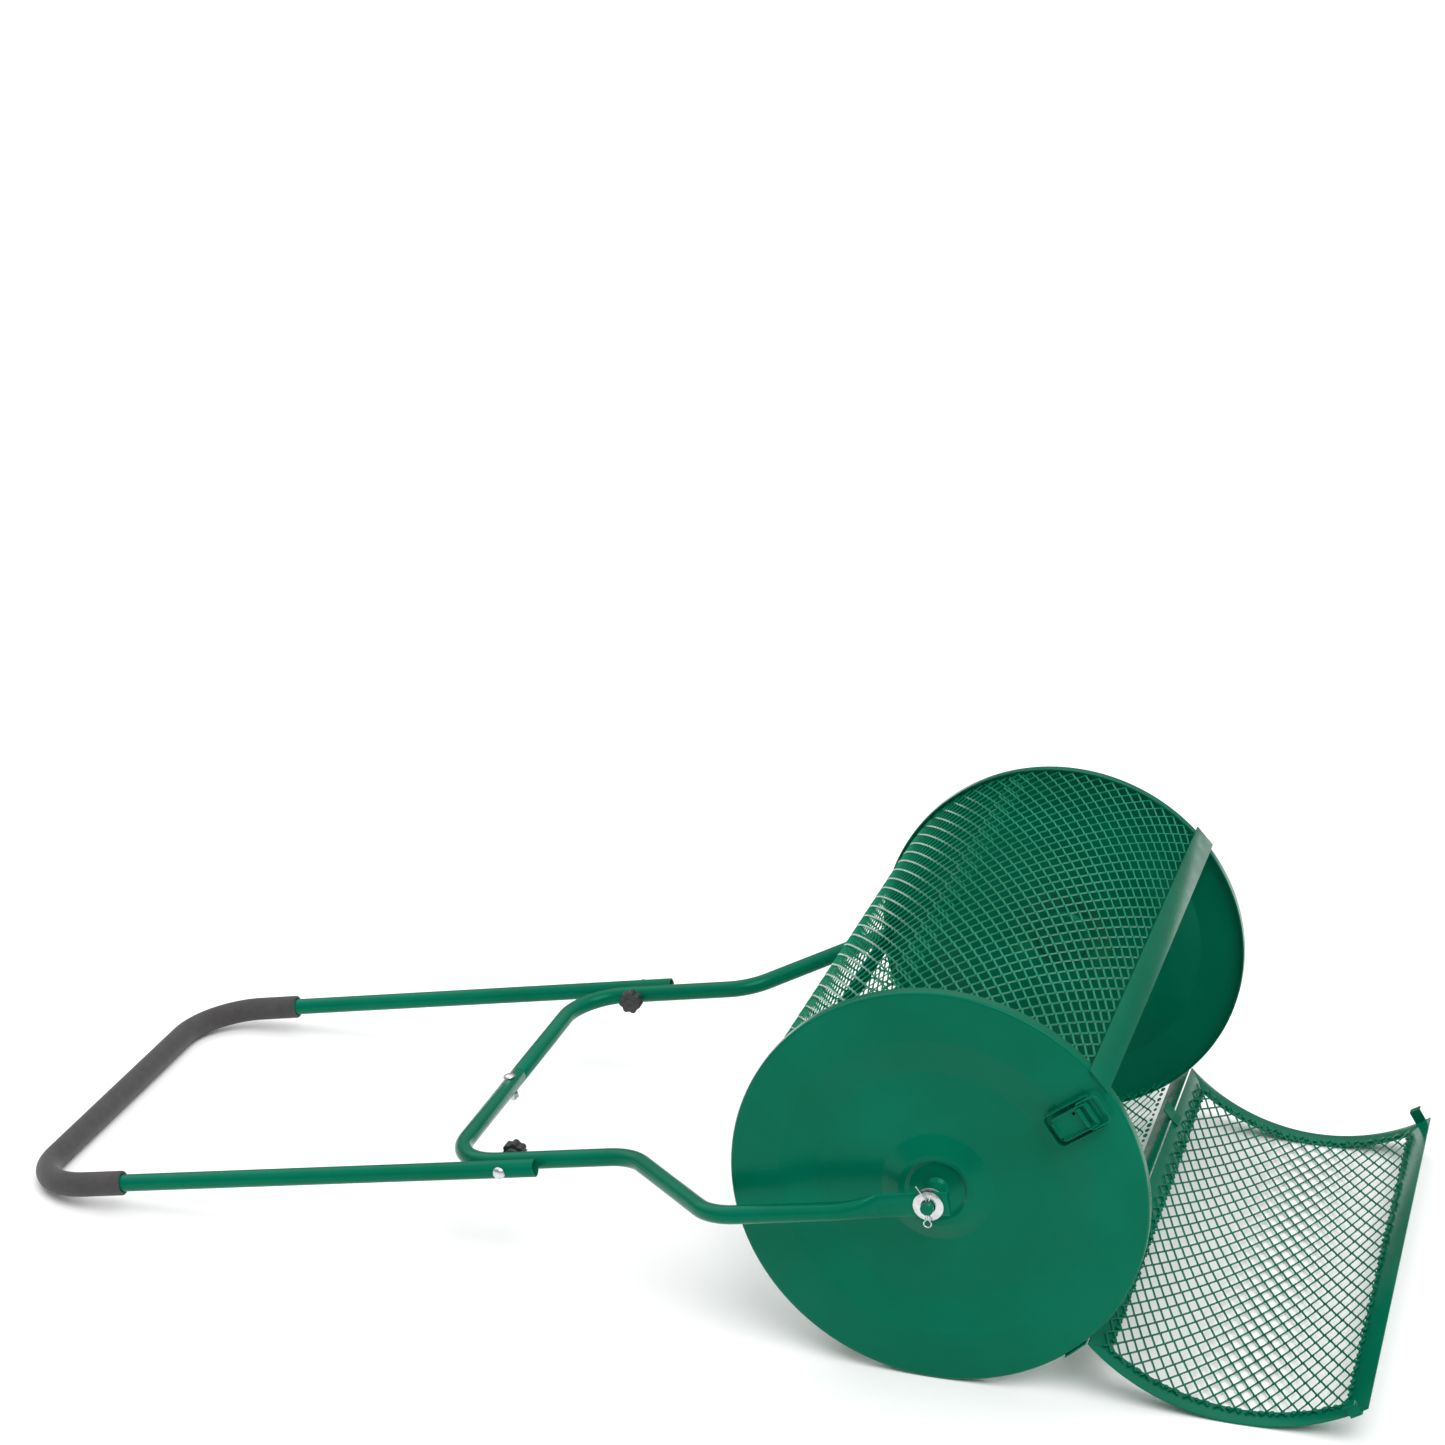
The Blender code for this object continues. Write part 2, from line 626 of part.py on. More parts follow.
def door(hinge):
    """The door as it lies when shut, on the hinge's frame."""
    low, low_inner, high_inner, high = door_angles()
    outer_x = HALF_WIDTH - GAP
    pieces = []
    for name, edge, inner in (("hinge", low, low_inner), ("latch", high, high_inner)):
        cuts = [mitre(side, edge, inner, False) for side in (-1, 1)]
        pieces.append((f"door_{name}_side_strip", flat_strip(
            (edge + inner) / 2, DOOR_STRIP, -outer_x, outer_x, STRIP_FACE, SHEET, cuts)))
    for name, side in (("left", -1), ("right", 1)):
        cuts = [mitre(side, low, low_inner, True), mitre(side, high, high_inner, True)]
        x_range = sorted((side * outer_x, side * (outer_x - DOOR_STRIP)))
        pieces.append((f"door_{name}_arc_strip", curved_sheet(
            DOOR_ARC_INSIDE, SHEET, *x_range, low, high, cuts)))

    panel_outside = STRIP_FACE - GAP
    root = low + degrees_for(TAB_ROOT + TAB_CLEARANCE, HINGE_FACE)
    panel_end = high - degrees_for(SEAM_GAP * 2, HINGE_FACE)
    panel_x = HALF_WIDTH - FLANGE_DEPTH - TAB_CLEARANCE / 2
    pieces.append(("door_mesh_panel", curved_sheet(
        panel_outside - MESH_THICKNESS, MESH_THICKNESS, -panel_x, panel_x, root, panel_end)))

    for name, side in (("left", -1), ("right", 1)):
        pieces.append((f"door_{name}_hinge_tab", hinge_tab(side * TAB_OFFSET, (low + low_inner) / 2)))
    pieces += latch_keepers((high + high_inner) / 2)
    for name, piece in pieces:
        piece.data.transform(Matrix.Translation(-around(HINGE_RADIUS, HINGE_ANGLE)))
        keep(piece, name, hinge, "green_powder_coat")


def hinge_tab(x, door_angle):
    """A tongue bent like the two strips it joins: fixed under the door's, free under the drum's."""
    drum_angle = sill_angle()
    middle = (door_angle + drum_angle) / 2
    spread = math.cos(math.radians(door_angle - middle))
    outline = []
    for face in (STRIP_FACE - GAP, STRIP_FACE - GAP - SHEET):
        bend = around(face / spread, middle)
        ends = [bend + around(TAB_ROOT, door_angle + 90), bend, bend - around(TAB_REACH, drum_angle + 90)]
        outline += ends if not outline else ends[::-1]
    return extruded([point.yz for point in outline], (0, 1, 0), (0, 0, 1), (x, 0, 0), (1, 0, 0), TAB_WIDTH)


def latch_keepers(angle):
    """Brackets that step over the ends of the door's free strip and turn out into a nose."""
    top = HINGE_FACE + GAP
    drop_x = HALF_WIDTH + KEEPER_STANDOFF
    foot = drop_x - 0.012
    nose = KEEPER_TIP
    outline = [
        (foot, top), (drop_x, top), (drop_x, nose), (drop_x + KEEPER_NOSE, nose),
        (drop_x + KEEPER_NOSE, nose + SHEET), (drop_x + SHEET, nose + SHEET),
        (drop_x + SHEET, top + SHEET), (foot, top + SHEET)]
    return [(f"{name}_latch_keeper", extruded(
        outline, (side, 0, 0), around(1.0, angle), (0, 0, 0), around(1.0, angle + 90), KEEPER_WIDTH))
        for name, side in (("left", -1), ("right", 1))]


# ---------------------------------------------------------------- latches
# In a latch's frame, -Y runs out along the radius from the lever's pivot, Z runs round the drum
# and the disc face lies LATCH_PIN_LIFT inside the pivot.


def latch(side_name, side, pivot, bail_pivot, base_frame):
    """A channel riveted to the disc, a lever on a pin across it and a wire bail on the lever."""
    face = -side * LATCH_PIN_LIFT
    out = Vector((side, 0, 0))

    def at(lift, along, across=0.0):
        return Vector((face + side * lift, along, across))

    half = LATCH_BASE_WIDTH / 2
    wall, height = LATCH_WALL, LATCH_BASE_HEIGHT
    outline = [(GAP, -half), (height, -half), (height, wall - half), (GAP + wall, wall - half),
               (GAP + wall, half - wall), (height, half - wall), (height, half), (GAP, half)]
    middle = LATCH_BASE_LENGTH / 2 - LATCH_BASE_PAST_PIN
    channel = extruded(outline, out, (0, 0, 1), at(0, middle), (0, 1, 0), LATCH_BASE_LENGTH)
    hole = LATCH_PIN_RADIUS + LATCH_PLAY
    reach = half + 0.01
    channel = combined(channel, cylinder(hole, (0, 0, -reach), (0, 0, reach), 16), "DIFFERENCE")
    keep(channel, f"{side_name}_latch_base", base_frame, "green_powder_coat")

    pin_half = half + 0.001
    pin = cylinder(LATCH_PIN_RADIUS, (0, 0, -pin_half), (0, 0, pin_half), 12)
    keep(pin, f"{side_name}_latch_pin", base_frame, "zinc_plate")

    width = LEVER_WIDTH / 2
    plate_low = LATCH_PIN_LIFT + LATCH_PIN_RADIUS * 0.5
    plate = box(*ordered(at(plate_low, 0, -width), at(plate_low + LEVER_SHEET, LEVER_LENGTH, width)))
    lever = combined(plate, cylinder(LEVER_BARREL, (0, 0, -width), (0, 0, width), 16), "UNION")
    bail_x = side * BAIL_PIVOT_LIFT
    ends = [(bail_x, BAIL_PIVOT_BACK, -width * 0.8), (bail_x, BAIL_PIVOT_BACK, width * 0.8)]
    lever = combined(lever, cylinder(BAIL_BARREL, *ends, 16), "UNION")
    lever = combined(lever, cylinder(hole, (0, 0, -reach), (0, 0, reach), 16), "DIFFERENCE")
    wire_hole = BAIL_WIRE + LATCH_PLAY
    lever = combined(lever, cylinder(
        wire_hole, (bail_x, BAIL_PIVOT_BACK, -reach), (bail_x, BAIL_PIVOT_BACK, reach), 16), "DIFFERENCE")
    keep(lever, f"{side_name}_latch_lever", pivot, "green_powder_coat")

    far = -(BAIL_REACH + BAIL_PIVOT_BACK)
    span = BAIL_HALF_WIDTH
    corners = [(0, 0, 0), (0, 0, span), (0, far, span), (0, far, -span), (0, 0, -span), (0, 0, 0)]
    loop = bent_path(corners, [BAIL_CORNER * 0.5, BAIL_CORNER, BAIL_CORNER, BAIL_CORNER * 0.5], 30)[:-1]
    bail = tube(loop, BAIL_WIRE, sides=8, cyclic=True)
    keep(bail, f"{side_name}_latch_bail", bail_pivot, "green_powder_coat")


def ordered(one, other):
    """The lowest and highest corners of a box given by any two opposite ones."""
    return [tuple(map(min, one, other)), tuple(map(max, one, other))]


# ---------------------------------------------------------------- handle


def lower_arm(side):
    """The centre line of one lower arm: flat end, outer run, inward bend, inner run, half crossbar."""
    jog = [(side * arm_centre(y), y, 0) for y in
           (-ARM_FLAT_BACK, ARM_FLAT_END * 0.5, ARM_FLAT_END)]
    steps = 6
    for i in range(1, steps + 1):
        y = ARM_FLAT_END + (ARM_ROUND_FROM - ARM_FLAT_END) * i / steps
        jog.append((side * arm_centre(y), y, 0))
    meet = side * GAP / 2
    corners = [jog[-1], (side * ARM_OUTER_X, ARM_BEND_OUT, 0), (side * ARM_INNER_X, ARM_BEND_IN, 0),
               (side * ARM_INNER_X, CROSSBAR_AT, 0), (meet, CROSSBAR_AT, 0)]
    bends = bent_path(corners, [ARM_BEND_RADIUS, ARM_BEND_RADIUS, CROSSBAR_CORNER])
    arm = tube([Vector(point) for point in jog] + bends[1:], ARM_RADIUS)
    for vertex in arm.data.vertices:
        flatten(vertex, side)
    reach = ARM_OUTER_X + 0.02
    arm = combined(arm, cylinder(AXLE_RADIUS + AXLE_PLAY, (side * 0.2, 0, 0), (side * reach, 0, 0)), "DIFFERENCE")
    arm = combined(arm, cylinder(BOLT_RADIUS + BOLT_PLAY, (side * (ARM_INNER_X - 0.02), CLAMP_AT, 0),
                                 (side * (ARM_INNER_X + 0.02), CLAMP_AT, 0), 16), "DIFFERENCE")
    return arm


def arm_centre(y):
    """How far out the arm's centre line runs at a distance from the axle."""
    share = smooth_step((y - ARM_FLAT_END) / (ARM_ROUND_FROM - ARM_FLAT_END))
    return ARM_FLAT_X + (ARM_OUTER_X - ARM_FLAT_X) * share


def flatten(vertex, side):
    """Squeezes the tube's end flat across the axle, as wide as the crushed tube spreads."""
    share = 1 - smooth_step((vertex.co.y - ARM_FLAT_END) / (ARM_ROUND_FROM - ARM_FLAT_END))
    if share <= 0:
        return
    thin = 1 + (ARM_FLAT_THICKNESS / (2 * ARM_RADIUS) - 1) * share
    wide = 1 + (ARM_FLAT_WIDTH / (2 * ARM_RADIUS) - 1) * share
    centre = side * arm_centre(vertex.co.y)
    vertex.co.x = centre + (vertex.co.x - centre) * thin
    vertex.co.z *= wide


def lower_handle(handle):
    """Both lower arms, joined in the middle of the crossbar by a spigot, a socket and a bolt."""
    left, right = lower_arm(-1), lower_arm(1)
    socket = SPIGOT_RADIUS + SOCKET_PLAY
    depth = SPIGOT_LENGTH + 0.002
    left = combined(left, cylinder(socket, (-depth, CROSSBAR_AT, 0), (0.01, CROSSBAR_AT, 0)), "DIFFERENCE")
    right = combined(right, cylinder(
        SPIGOT_RADIUS, (-SPIGOT_LENGTH, CROSSBAR_AT, 0), (0.02, CROSSBAR_AT, 0)), "UNION")
    drill = BOLT_RADIUS + BOLT_PLAY
    for name, arm in (("left_lower_arm", left), ("right_lower_arm", right)):
        arm = combined(arm, cylinder(
            drill, (CROSS_BOLT_X, CROSSBAR_AT, -0.03), (CROSS_BOLT_X, CROSSBAR_AT, 0.03), 16), "DIFFERENCE")
        keep(arm, name, handle, "green_powder_coat")

    seat = ARM_RADIUS + GAP
    tail = seat + NUT_HEIGHT + CROSS_BOLT_TAIL
    bolt = bolt_along((CROSS_BOLT_X, CROSSBAR_AT, 0), (0, 0, 1), seat, tail)
    keep(bolt, "crossbar_bolt", handle, "zinc_plate")
    nut = cylinder(NUT_RADIUS, (CROSS_BOLT_X, CROSSBAR_AT, -seat), (CROSS_BOLT_X, CROSSBAR_AT, -seat - NUT_HEIGHT), 6)
    nut = combined(nut, cylinder(
        drill, (CROSS_BOLT_X, CROSSBAR_AT, 0), (CROSS_BOLT_X, CROSSBAR_AT, -0.03), 16), "DIFFERENCE")
    keep(nut, "crossbar_nut", handle, "zinc_plate")


def bolt_along(middle, towards_head, seat, tail):
    """A round-headed bolt through a tube: the head sits on one side and the shank comes out of the other."""
    middle, towards_head = Vector(middle), Vector(towards_head)
    shank = cylinder(BOLT_RADIUS, middle - towards_head * tail, middle + towards_head * (seat + 0.001), 16)
    head = cylinder(BOLT_HEAD_RADIUS, middle + towards_head * seat,
                    middle + towards_head * (seat + BOLT_HEAD_HEIGHT), 16, BOLT_HEAD_RADIUS * 0.6)
    return combined(shank, head, "UNION")


def clamps(handle, knob_frames):
    """The bolts that clamp the upper handle's legs to the arms, and the star knobs on them."""
    pair_middle = (ARM_INNER_X + LEG_X) / 2
    seat = LEG_X + LEG_RADIUS + GAP - pair_middle
    knob_face = ARM_INNER_X - ARM_RADIUS - GAP
    tail = pair_middle - knob_face + KNOB_BORE_DEPTH - 0.002
    bolt = bolt_along((-pair_middle, CLAMP_AT, 0), (-1, 0, 0), seat, tail)
    keep(bolt, "left_clamp_bolt", handle, "zinc_plate")
    keep(mirrored(bolt, "right_clamp_bolt"), "right_clamp_bolt", handle, "zinc_plate")

    outline = []
    for i in range(KNOB_LOBES * 6):
        turn = 2 * math.pi * i / (KNOB_LOBES * 6)
        radius = KNOB_RADIUS - KNOB_LOBE_DEPTH * (1 - math.cos(KNOB_LOBES * turn)) / 2 * 1.6
        outline.append((radius * math.cos(turn), radius * math.sin(turn)))
    start = KNOB_COLLAR
    body = extruded(outline, (0, 1, 0), (0, 0, 1), (start + KNOB_HEIGHT / 2, 0, 0), (1, 0, 0), KNOB_HEIGHT)
    body = bevelled(body, 0.0015)
    knob = combined(body, cylinder(KNOB_COLLAR_RADIUS, (0, 0, 0), (start + 0.002, 0, 0)), "UNION")
    bore = BOLT_RADIUS + BOLT_PLAY
    knob = combined(knob, cylinder(bore, (-0.01, 0, 0), (KNOB_BORE_DEPTH, 0, 0), 16), "DIFFERENCE")
    keep(knob, "left_clamp_knob", knob_frames["left"], "black_plastic")
    right = keep(mirrored(knob, "right_clamp_knob"), "right_clamp_knob", knob_frames["right"], "black_plastic")
    right.location = (0, 0, 0)
    return knob_face


def upper_handle(fold):
    """The U-shaped tube and the foam sleeve over its far end, on the frame of the clamp bolts."""
    back = -LEG_STUB
    reach = UPPER_REACH
    corners = [(-LEG_X, back, 0), (-LEG_X, reach, 0), (LEG_X, reach, 0), (LEG_X, back, 0)]
    path = bent_path(corners, [GRIP_CORNER, GRIP_CORNER])
    made = tube(path, LEG_RADIUS, wall=TUBE_WALL)
    reach_x = LEG_X + 0.02
    for side in (-1, 1):
        made = combined(made, cylinder(BOLT_RADIUS + BOLT_PLAY, (side * (LEG_X - 0.015), 0, 0),
                                       (side * reach_x, 0, 0), 16), "DIFFERENCE")
    keep(made, "upper_handle_tube", fold, "green_powder_coat")

    foam_from = UPPER_REACH - FOAM_LEG
    covered = [point for point in path if point.y > foam_from + 0.001]
    sleeve = [Vector((-LEG_X, foam_from, 0))] + covered + [Vector((LEG_X, foam_from, 0))]
    foam = tube(sleeve, FOAM_RADIUS, wall=FOAM_RADIUS - LEG_RADIUS - GAP)
    keep(foam, "foam_grip", fold, "grey_foam")


# ---------------------------------------------------------------- the whole spreader


def stand_on_floor(axle):
    """Moves the spreader so that its box is centred on the origin and stands on the floor."""
    bpy.context.view_layer.update()
    corners = [obj.matrix_world @ Vector(corner) for obj in PARTS.objects if obj.type == "MESH"
               for corner in (vertex.co for vertex in obj.data.vertices)]
    low = Vector(map(min, *corners))
    high = Vector(map(max, *corners))
    axle.location -= Vector(((low.x + high.x) / 2, (low.y + high.y) / 2, low.z))


def main():
    axle = frame("axle_frame", None)
    handle = frame("handle_frame", axle, turn=handle_slope())
    fold = frame("fold_frame", handle, (0, CLAMP_AT, 0))
    hinge = frame("door_frame", axle, around(HINGE_RADIUS, HINGE_ANGLE), door_opening())
    end_disc(axle)
    drum_shell(axle)
    axle_ends(axle)
    door(hinge)
    for name, side in (("left", -1), ("right", 1)):
        place = around(LATCH_PIN_AT, LATCH_ANGLE, side * (HALF_WIDTH + LATCH_PIN_LIFT))
        pivot = frame(f"{name}_latch_frame", axle, place, -LATCH_ANGLE)
        bail_place = (side * BAIL_PIVOT_LIFT, BAIL_PIVOT_BACK, 0)
        bail_pivot = frame(f"{name}_bail_frame", pivot, bail_place)
        latch(name, side, pivot, bail_pivot, pivot)
    lower_handle(handle)
    knob_x = ARM_INNER_X - ARM_RADIUS - GAP
    knobs = {name: frame(f"{name}_knob_frame", handle, (side * knob_x, CLAMP_AT, 0))
             for name, side in (("left", -1), ("right", 1))}
    clamps(handle, knobs)
    upper_handle(fold)
    stand_on_floor(axle)


clear_scene()
PARTS = collection("compost_spreader")
CUTTERS = collection("cutters")
main()
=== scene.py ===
"""Looks for the push-along compost spreader: open mesh drum, pressed discs, latches and handle."""

import json
import math
import random

import bmesh
import bpy
from mathutils import Matrix, Vector


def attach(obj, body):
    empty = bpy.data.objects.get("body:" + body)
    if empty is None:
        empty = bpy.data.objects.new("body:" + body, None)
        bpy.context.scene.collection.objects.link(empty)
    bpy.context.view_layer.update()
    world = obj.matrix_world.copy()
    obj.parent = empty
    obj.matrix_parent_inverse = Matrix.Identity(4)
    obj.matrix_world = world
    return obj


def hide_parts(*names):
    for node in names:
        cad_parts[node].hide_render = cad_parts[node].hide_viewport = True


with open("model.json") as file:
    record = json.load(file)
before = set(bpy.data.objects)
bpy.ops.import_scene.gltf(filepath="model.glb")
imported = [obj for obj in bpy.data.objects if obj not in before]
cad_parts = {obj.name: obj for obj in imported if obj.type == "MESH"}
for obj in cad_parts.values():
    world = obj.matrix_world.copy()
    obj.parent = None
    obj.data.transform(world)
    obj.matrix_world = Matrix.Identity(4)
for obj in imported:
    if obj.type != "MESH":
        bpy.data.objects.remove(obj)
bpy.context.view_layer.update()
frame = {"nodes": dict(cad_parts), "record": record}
JOINTS = {joint["name"]: joint for joint in frame["record"]["behaviour"]["joints"]}

# Where the spreader's own axes are
AXLE = Vector(JOINTS["handle_swing"]["pos_m"])
CLAMP = Vector(JOINTS["upper_handle_fold"]["pos_m"])
HINGE = Vector(JOINTS["door_hinge"]["pos_m"])
DOOR_OPEN = math.radians(JOINTS["door_hinge"]["range_deg"][1])
LATCH = Vector(JOINTS["left_latch_lever"]["pos_m"])
HANDLE_SLOPE = math.atan2(CLAMP.z - AXLE.z, CLAMP.y - AXLE.y)
LATCH_TURN = -math.radians(36.0)

AT_AXLE = Matrix.Translation(AXLE)
AT_HANDLE = AT_AXLE @ Matrix.Rotation(HANDLE_SLOPE, 4, "X")
AT_DOOR = (Matrix.Translation(HINGE) @ Matrix.Rotation(DOOR_OPEN, 4, "X")
           @ Matrix.Translation(AXLE - HINGE))
AT_LATCH = Matrix.Translation(LATCH) @ Matrix.Rotation(LATCH_TURN, 4, "X")

# Sizes in metres, as in the solid model
RIM_RADIUS = 0.199
DISC_FACE = 0.305
SHEET = 0.0015
STRIP_FACE = 0.1993
STRIP_OUTSIDE = 0.2008
STRIP_WIDTH = 0.026
DOOR_STRIP = 0.025
HINGE_ANGLE = -43.2
SEAM_ANGLE = 38.3
HINGE_GAP = 0.001
SEAM_GAP = 0.00075
MESH_REACH = 0.3025
FRAME_REACH = 0.3047
ARM_INNER_X = 0.2077
LEG_X = 0.226
TUBE_RADIUS = 0.009
CROSSBAR_AT = 0.533
CLAMP_AT = (CLAMP - AXLE).length
GRIP_AT = 1.010

# Expanded metal: diamonds 25.5 mm along the axle and 14.5 mm round it
DIAMOND_LONG = 0.0255
DIAMOND_SHORT = 0.0145
STRAND_WIDTH = 0.0019
STRAND_THICKNESS = 0.0010
STRAND_TILT = math.radians(-12)
BOND_LENGTH = 0.0030


# ------------------------------------------------------------------ materials


def colour(hex_code):
    """sRGB hex to linear RGBA."""
    parts = [int(hex_code[i:i + 2], 16) / 255 for i in (1, 3, 5)]
    linear = [p / 12.92 if p <= 0.04045 else ((p + 0.055) / 1.055) ** 2.4 for p in parts]
    return (*linear, 1.0)


def node(material, kind, settings=None, inputs=None, links=None):
    """Adds a node with its settings, its input values and its links {input: (node, output)}."""
    tree = material.node_tree
    made = tree.nodes.new(kind)
    for name, value in (settings or {}).items():
        setattr(made, name, value)
    for name, value in (inputs or {}).items():
        made.inputs[name].default_value = value
    for name, (source, output) in (links or {}).items():
        tree.links.new(source.outputs[output], made.inputs[name])
    return made


def ramp(material, source, output, stops):
    """A colour ramp fed by a node, with stops of (position, hex colour)."""
    made = node(material, "ShaderNodeValToRGB", links={"Fac": (source, output)})
    elements = made.color_ramp.elements
    while len(elements) < len(stops):
        elements.new(0.5)
    for element, (position, code) in zip(elements, stops):
        element.position = position
        element.color = colour(code)
    return made


def blank(name, **values):
    """A new material with its Principled shader's own sockets set."""
    material = bpy.data.materials.new(name)
    material.use_nodes = True
    shader = material.node_tree.nodes["Principled BSDF"]
    for socket, value in values.items():
        shader.inputs[socket.replace("_", " ")].default_value = value
    return material, shader


def noise(material, place, scale, detail, roughness=0.5):
    """A noise texture laid over the object's own coordinates."""
    return node(material, "ShaderNodeTexNoise", inputs={"Scale": scale, "Detail": detail, "Roughness": roughness},
                links={"Vector": (place, "Object")})


def dressed(material, shader, tone, gloss, relief):
    """Links a shader's colour to a ramp, its roughness to (noise, from low, from high, to low, to high)
    and its normal to a bump of (height output, strength, distance)."""
    cloud, from_low, from_high, to_low, to_high = gloss
    height, strength, distance = relief
    rough = node(material, "ShaderNodeMapRange", inputs={
        "From Min": from_low, "From Max": from_high, "To Min": to_low, "To Max": to_high},
        links={"Value": (cloud, "Fac")})
    bump = node(material, "ShaderNodeBump", inputs={"Strength": strength, "Distance": distance},
                links={"Height": height})
    for source, output, socket in ((tone, "Color", "Base Color"), (rough, "Result", "Roughness"),
                                   (bump, "Normal", "Normal")):
        material.node_tree.links.new(source.outputs[output], shader.inputs[socket])
    return material


def green_powder_coat(name, tones):
    """Thick glossy powder coat on steel: rounded reflections, a faint orange peel, a little depth of tone."""
    material, shader = blank(name, Metallic=0.0, IOR=1.5, Specular_IOR_Level=0.28,
                             Specular_Tint=colour("#6FE0B8"))
    place = node(material, "ShaderNodeTexCoord")
    drift = noise(material, place, 7.0, 3.0, 0.55)
    cloud = noise(material, place, 45.0, 4.0, 0.6)
    # Orange peel swells of about 3 mm
    peel = noise(material, place, 320.0, 1.0, 0.4)
    tone = ramp(material, drift, "Fac", list(zip((0.30, 0.55, 0.78), tones)))
    return dressed(material, shader, tone, (cloud, 0.3, 0.7, 0.17, 0.25), ((peel, "Fac"), 0.05, 0.0003))


def zinc_plate():
    """Bright zinc plate on turned and stamped steel: cool grey metal with a fine cloudy bloom."""
    material, shader = blank("bright_zinc_plate", Metallic=1.0)
    place = node(material, "ShaderNodeTexCoord")
    bloom = noise(material, place, 260.0, 5.0, 0.65)
    tone = ramp(material, bloom, "Fac", [(0.30, "#B9BBBD"), (0.60, "#D5D7D8"), (0.80, "#E6E7E6")])
    return dressed(material, shader, tone, (bloom, 0.3, 0.7, 0.22, 0.42), ((bloom, "Fac"), 0.12, 0.0002))


def black_nylon():
    """Moulded glass-filled nylon: near black, with a fine spark-eroded grain that keeps it satin."""
    material, shader = blank("moulded_black_nylon", Metallic=0.0, IOR=1.53)
    place = node(material, "ShaderNodeTexCoord")
    # Grain of about 0.4 mm, drawn twice as coarse as the real one so that it shows
    grain = noise(material, place, 2400.0, 2.0)
    tone = ramp(material, grain, "Fac", [(0.30, "#1B1B1C"), (0.70, "#2B2B2C")])
    return dressed(material, shader, tone, (grain, 0.3, 0.7, 0.34, 0.52), ((grain, "Fac"), 0.25, 0.0002))


def grey_foam():
    """Closed-cell rubber foam sleeve: matt dark grey skin with fine open pores and a soft unevenness."""
    material, shader = blank("dark_grey_cell_foam", Metallic=0.0, IOR=1.45, Sheen_Weight=0.15)
    place = node(material, "ShaderNodeTexCoord")
    # Pores of about 0.7 mm, drawn a little coarse so that they show
    cells = node(material, "ShaderNodeTexVoronoi", inputs={"Scale": 900.0}, links={"Vector": (place, "Object")})
    wave = noise(material, place, 60.0, 6.0, 0.7)
    tone = ramp(material, wave, "Fac", [(0.30, "#363435"), (0.55, "#403E3F"), (0.75, "#4A4849")])
    both = node(material, "ShaderNodeMath", {"operation": "MULTIPLY_ADD"}, {1: 0.6},
                {0: (cells, "Distance"), 2: (wave, "Fac")})
    return dressed(material, shader, tone, (wave, 0.2, 0.8, 0.80, 0.95), ((both, "Value"), 0.35, 0.0005))


FINISH = {
    "green_powder_coat": green_powder_coat("green_powder_coat", ("#005B42", "#006249", "#00694F")),
    # A lighter copy of the coat for the drum's strands: painted highlight for the light that the rounder coat on
    # thin strands catches
    "green_coat_on_strands": green_powder_coat("green_coat_on_strands", ("#03704F", "#057858", "#088060")),
    "zinc_plate": zinc_plate(),
    "black_plastic": black_nylon(),
    "grey_foam": grey_foam(),
}


# ------------------------------------------------------------------ modelling


def select_nothing():
    """Deselects every object."""
    bpy.ops.object.select_all(action="DESELECT")


def alone(obj):
    """Makes an object the only one selected."""
    select_nothing()
    bpy.context.view_layer.objects.active = obj
    obj.select_set(True)


def everything():
    """Selects the whole mesh that is open for editing."""
    bpy.ops.mesh.select_all(action="SELECT")


def extrude(step):
    """Extrudes what is selected by a step."""
    bpy.ops.mesh.extrude_region_move(TRANSFORM_OT_translate={"value": step})


def add(primitive, **settings):
    """Adds a primitive alone in the selection, with its place put into its mesh."""
    select_nothing()
    primitive(**settings)
    bpy.ops.object.transform_apply(location=True, rotation=True, scale=True)
    return bpy.context.object


def edit(obj):
    """Opens an object for editing with nothing selected."""
    alone(obj)
    bpy.ops.object.mode_set(mode="EDIT")
    bpy.ops.mesh.select_mode(type="VERT")
    bpy.ops.mesh.select_all(action="DESELECT")


def pick(obj, chosen, kind="verts"):
    """Selects the vertices, edges or faces whose middle passes a test."""
    bpy.ops.mesh.select_all(action="DESELECT")
    bpy.ops.mesh.select_mode(type={"verts": "VERT", "edges": "EDGE", "faces": "FACE"}[kind])
    work = bmesh.from_edit_mesh(obj.data)
    for item in getattr(work, kind):
        middle = item.co if kind == "verts" else sum((v.co for v in item.verts), Vector()) / len(item.verts)
        item.select_set(bool(chosen(middle)))
    work.select_flush_mode()
    bmesh.update_edit_mesh(obj.data)


def done():
    """Closes the mesh that is open for editing."""
    bpy.ops.object.mode_set(mode="OBJECT")


def modified(obj, kind, **settings):
    """Adds a modifier and applies it."""
    alone(obj)
    modifier = obj.modifiers.new(kind.lower(), kind)
    for name, value in settings.items():
        setattr(modifier, name, value)
    bpy.ops.object.modifier_apply(modifier=modifier.name)
    return obj


def rounded_edges(obj, width, segments=2, angle=35.0):
    return modified(obj, "BEVEL", width=width, segments=segments, limit_method="ANGLE",
                    angle_limit=math.radians(angle), harden_normals=False)


def facing_out(obj):
    """Turns the faces of a mesh outwards."""
    edit(obj)
    everything()
    bpy.ops.mesh.normals_make_consistent(inside=False)
    done()
    return obj


def tidy(obj):
    """Welds a mesh and turns its faces outwards."""
    edit(obj)
    everything()
    bpy.ops.mesh.remove_doubles(threshold=0.00002)
    bpy.ops.mesh.normals_make_consistent(inside=False)
    done()
    return obj


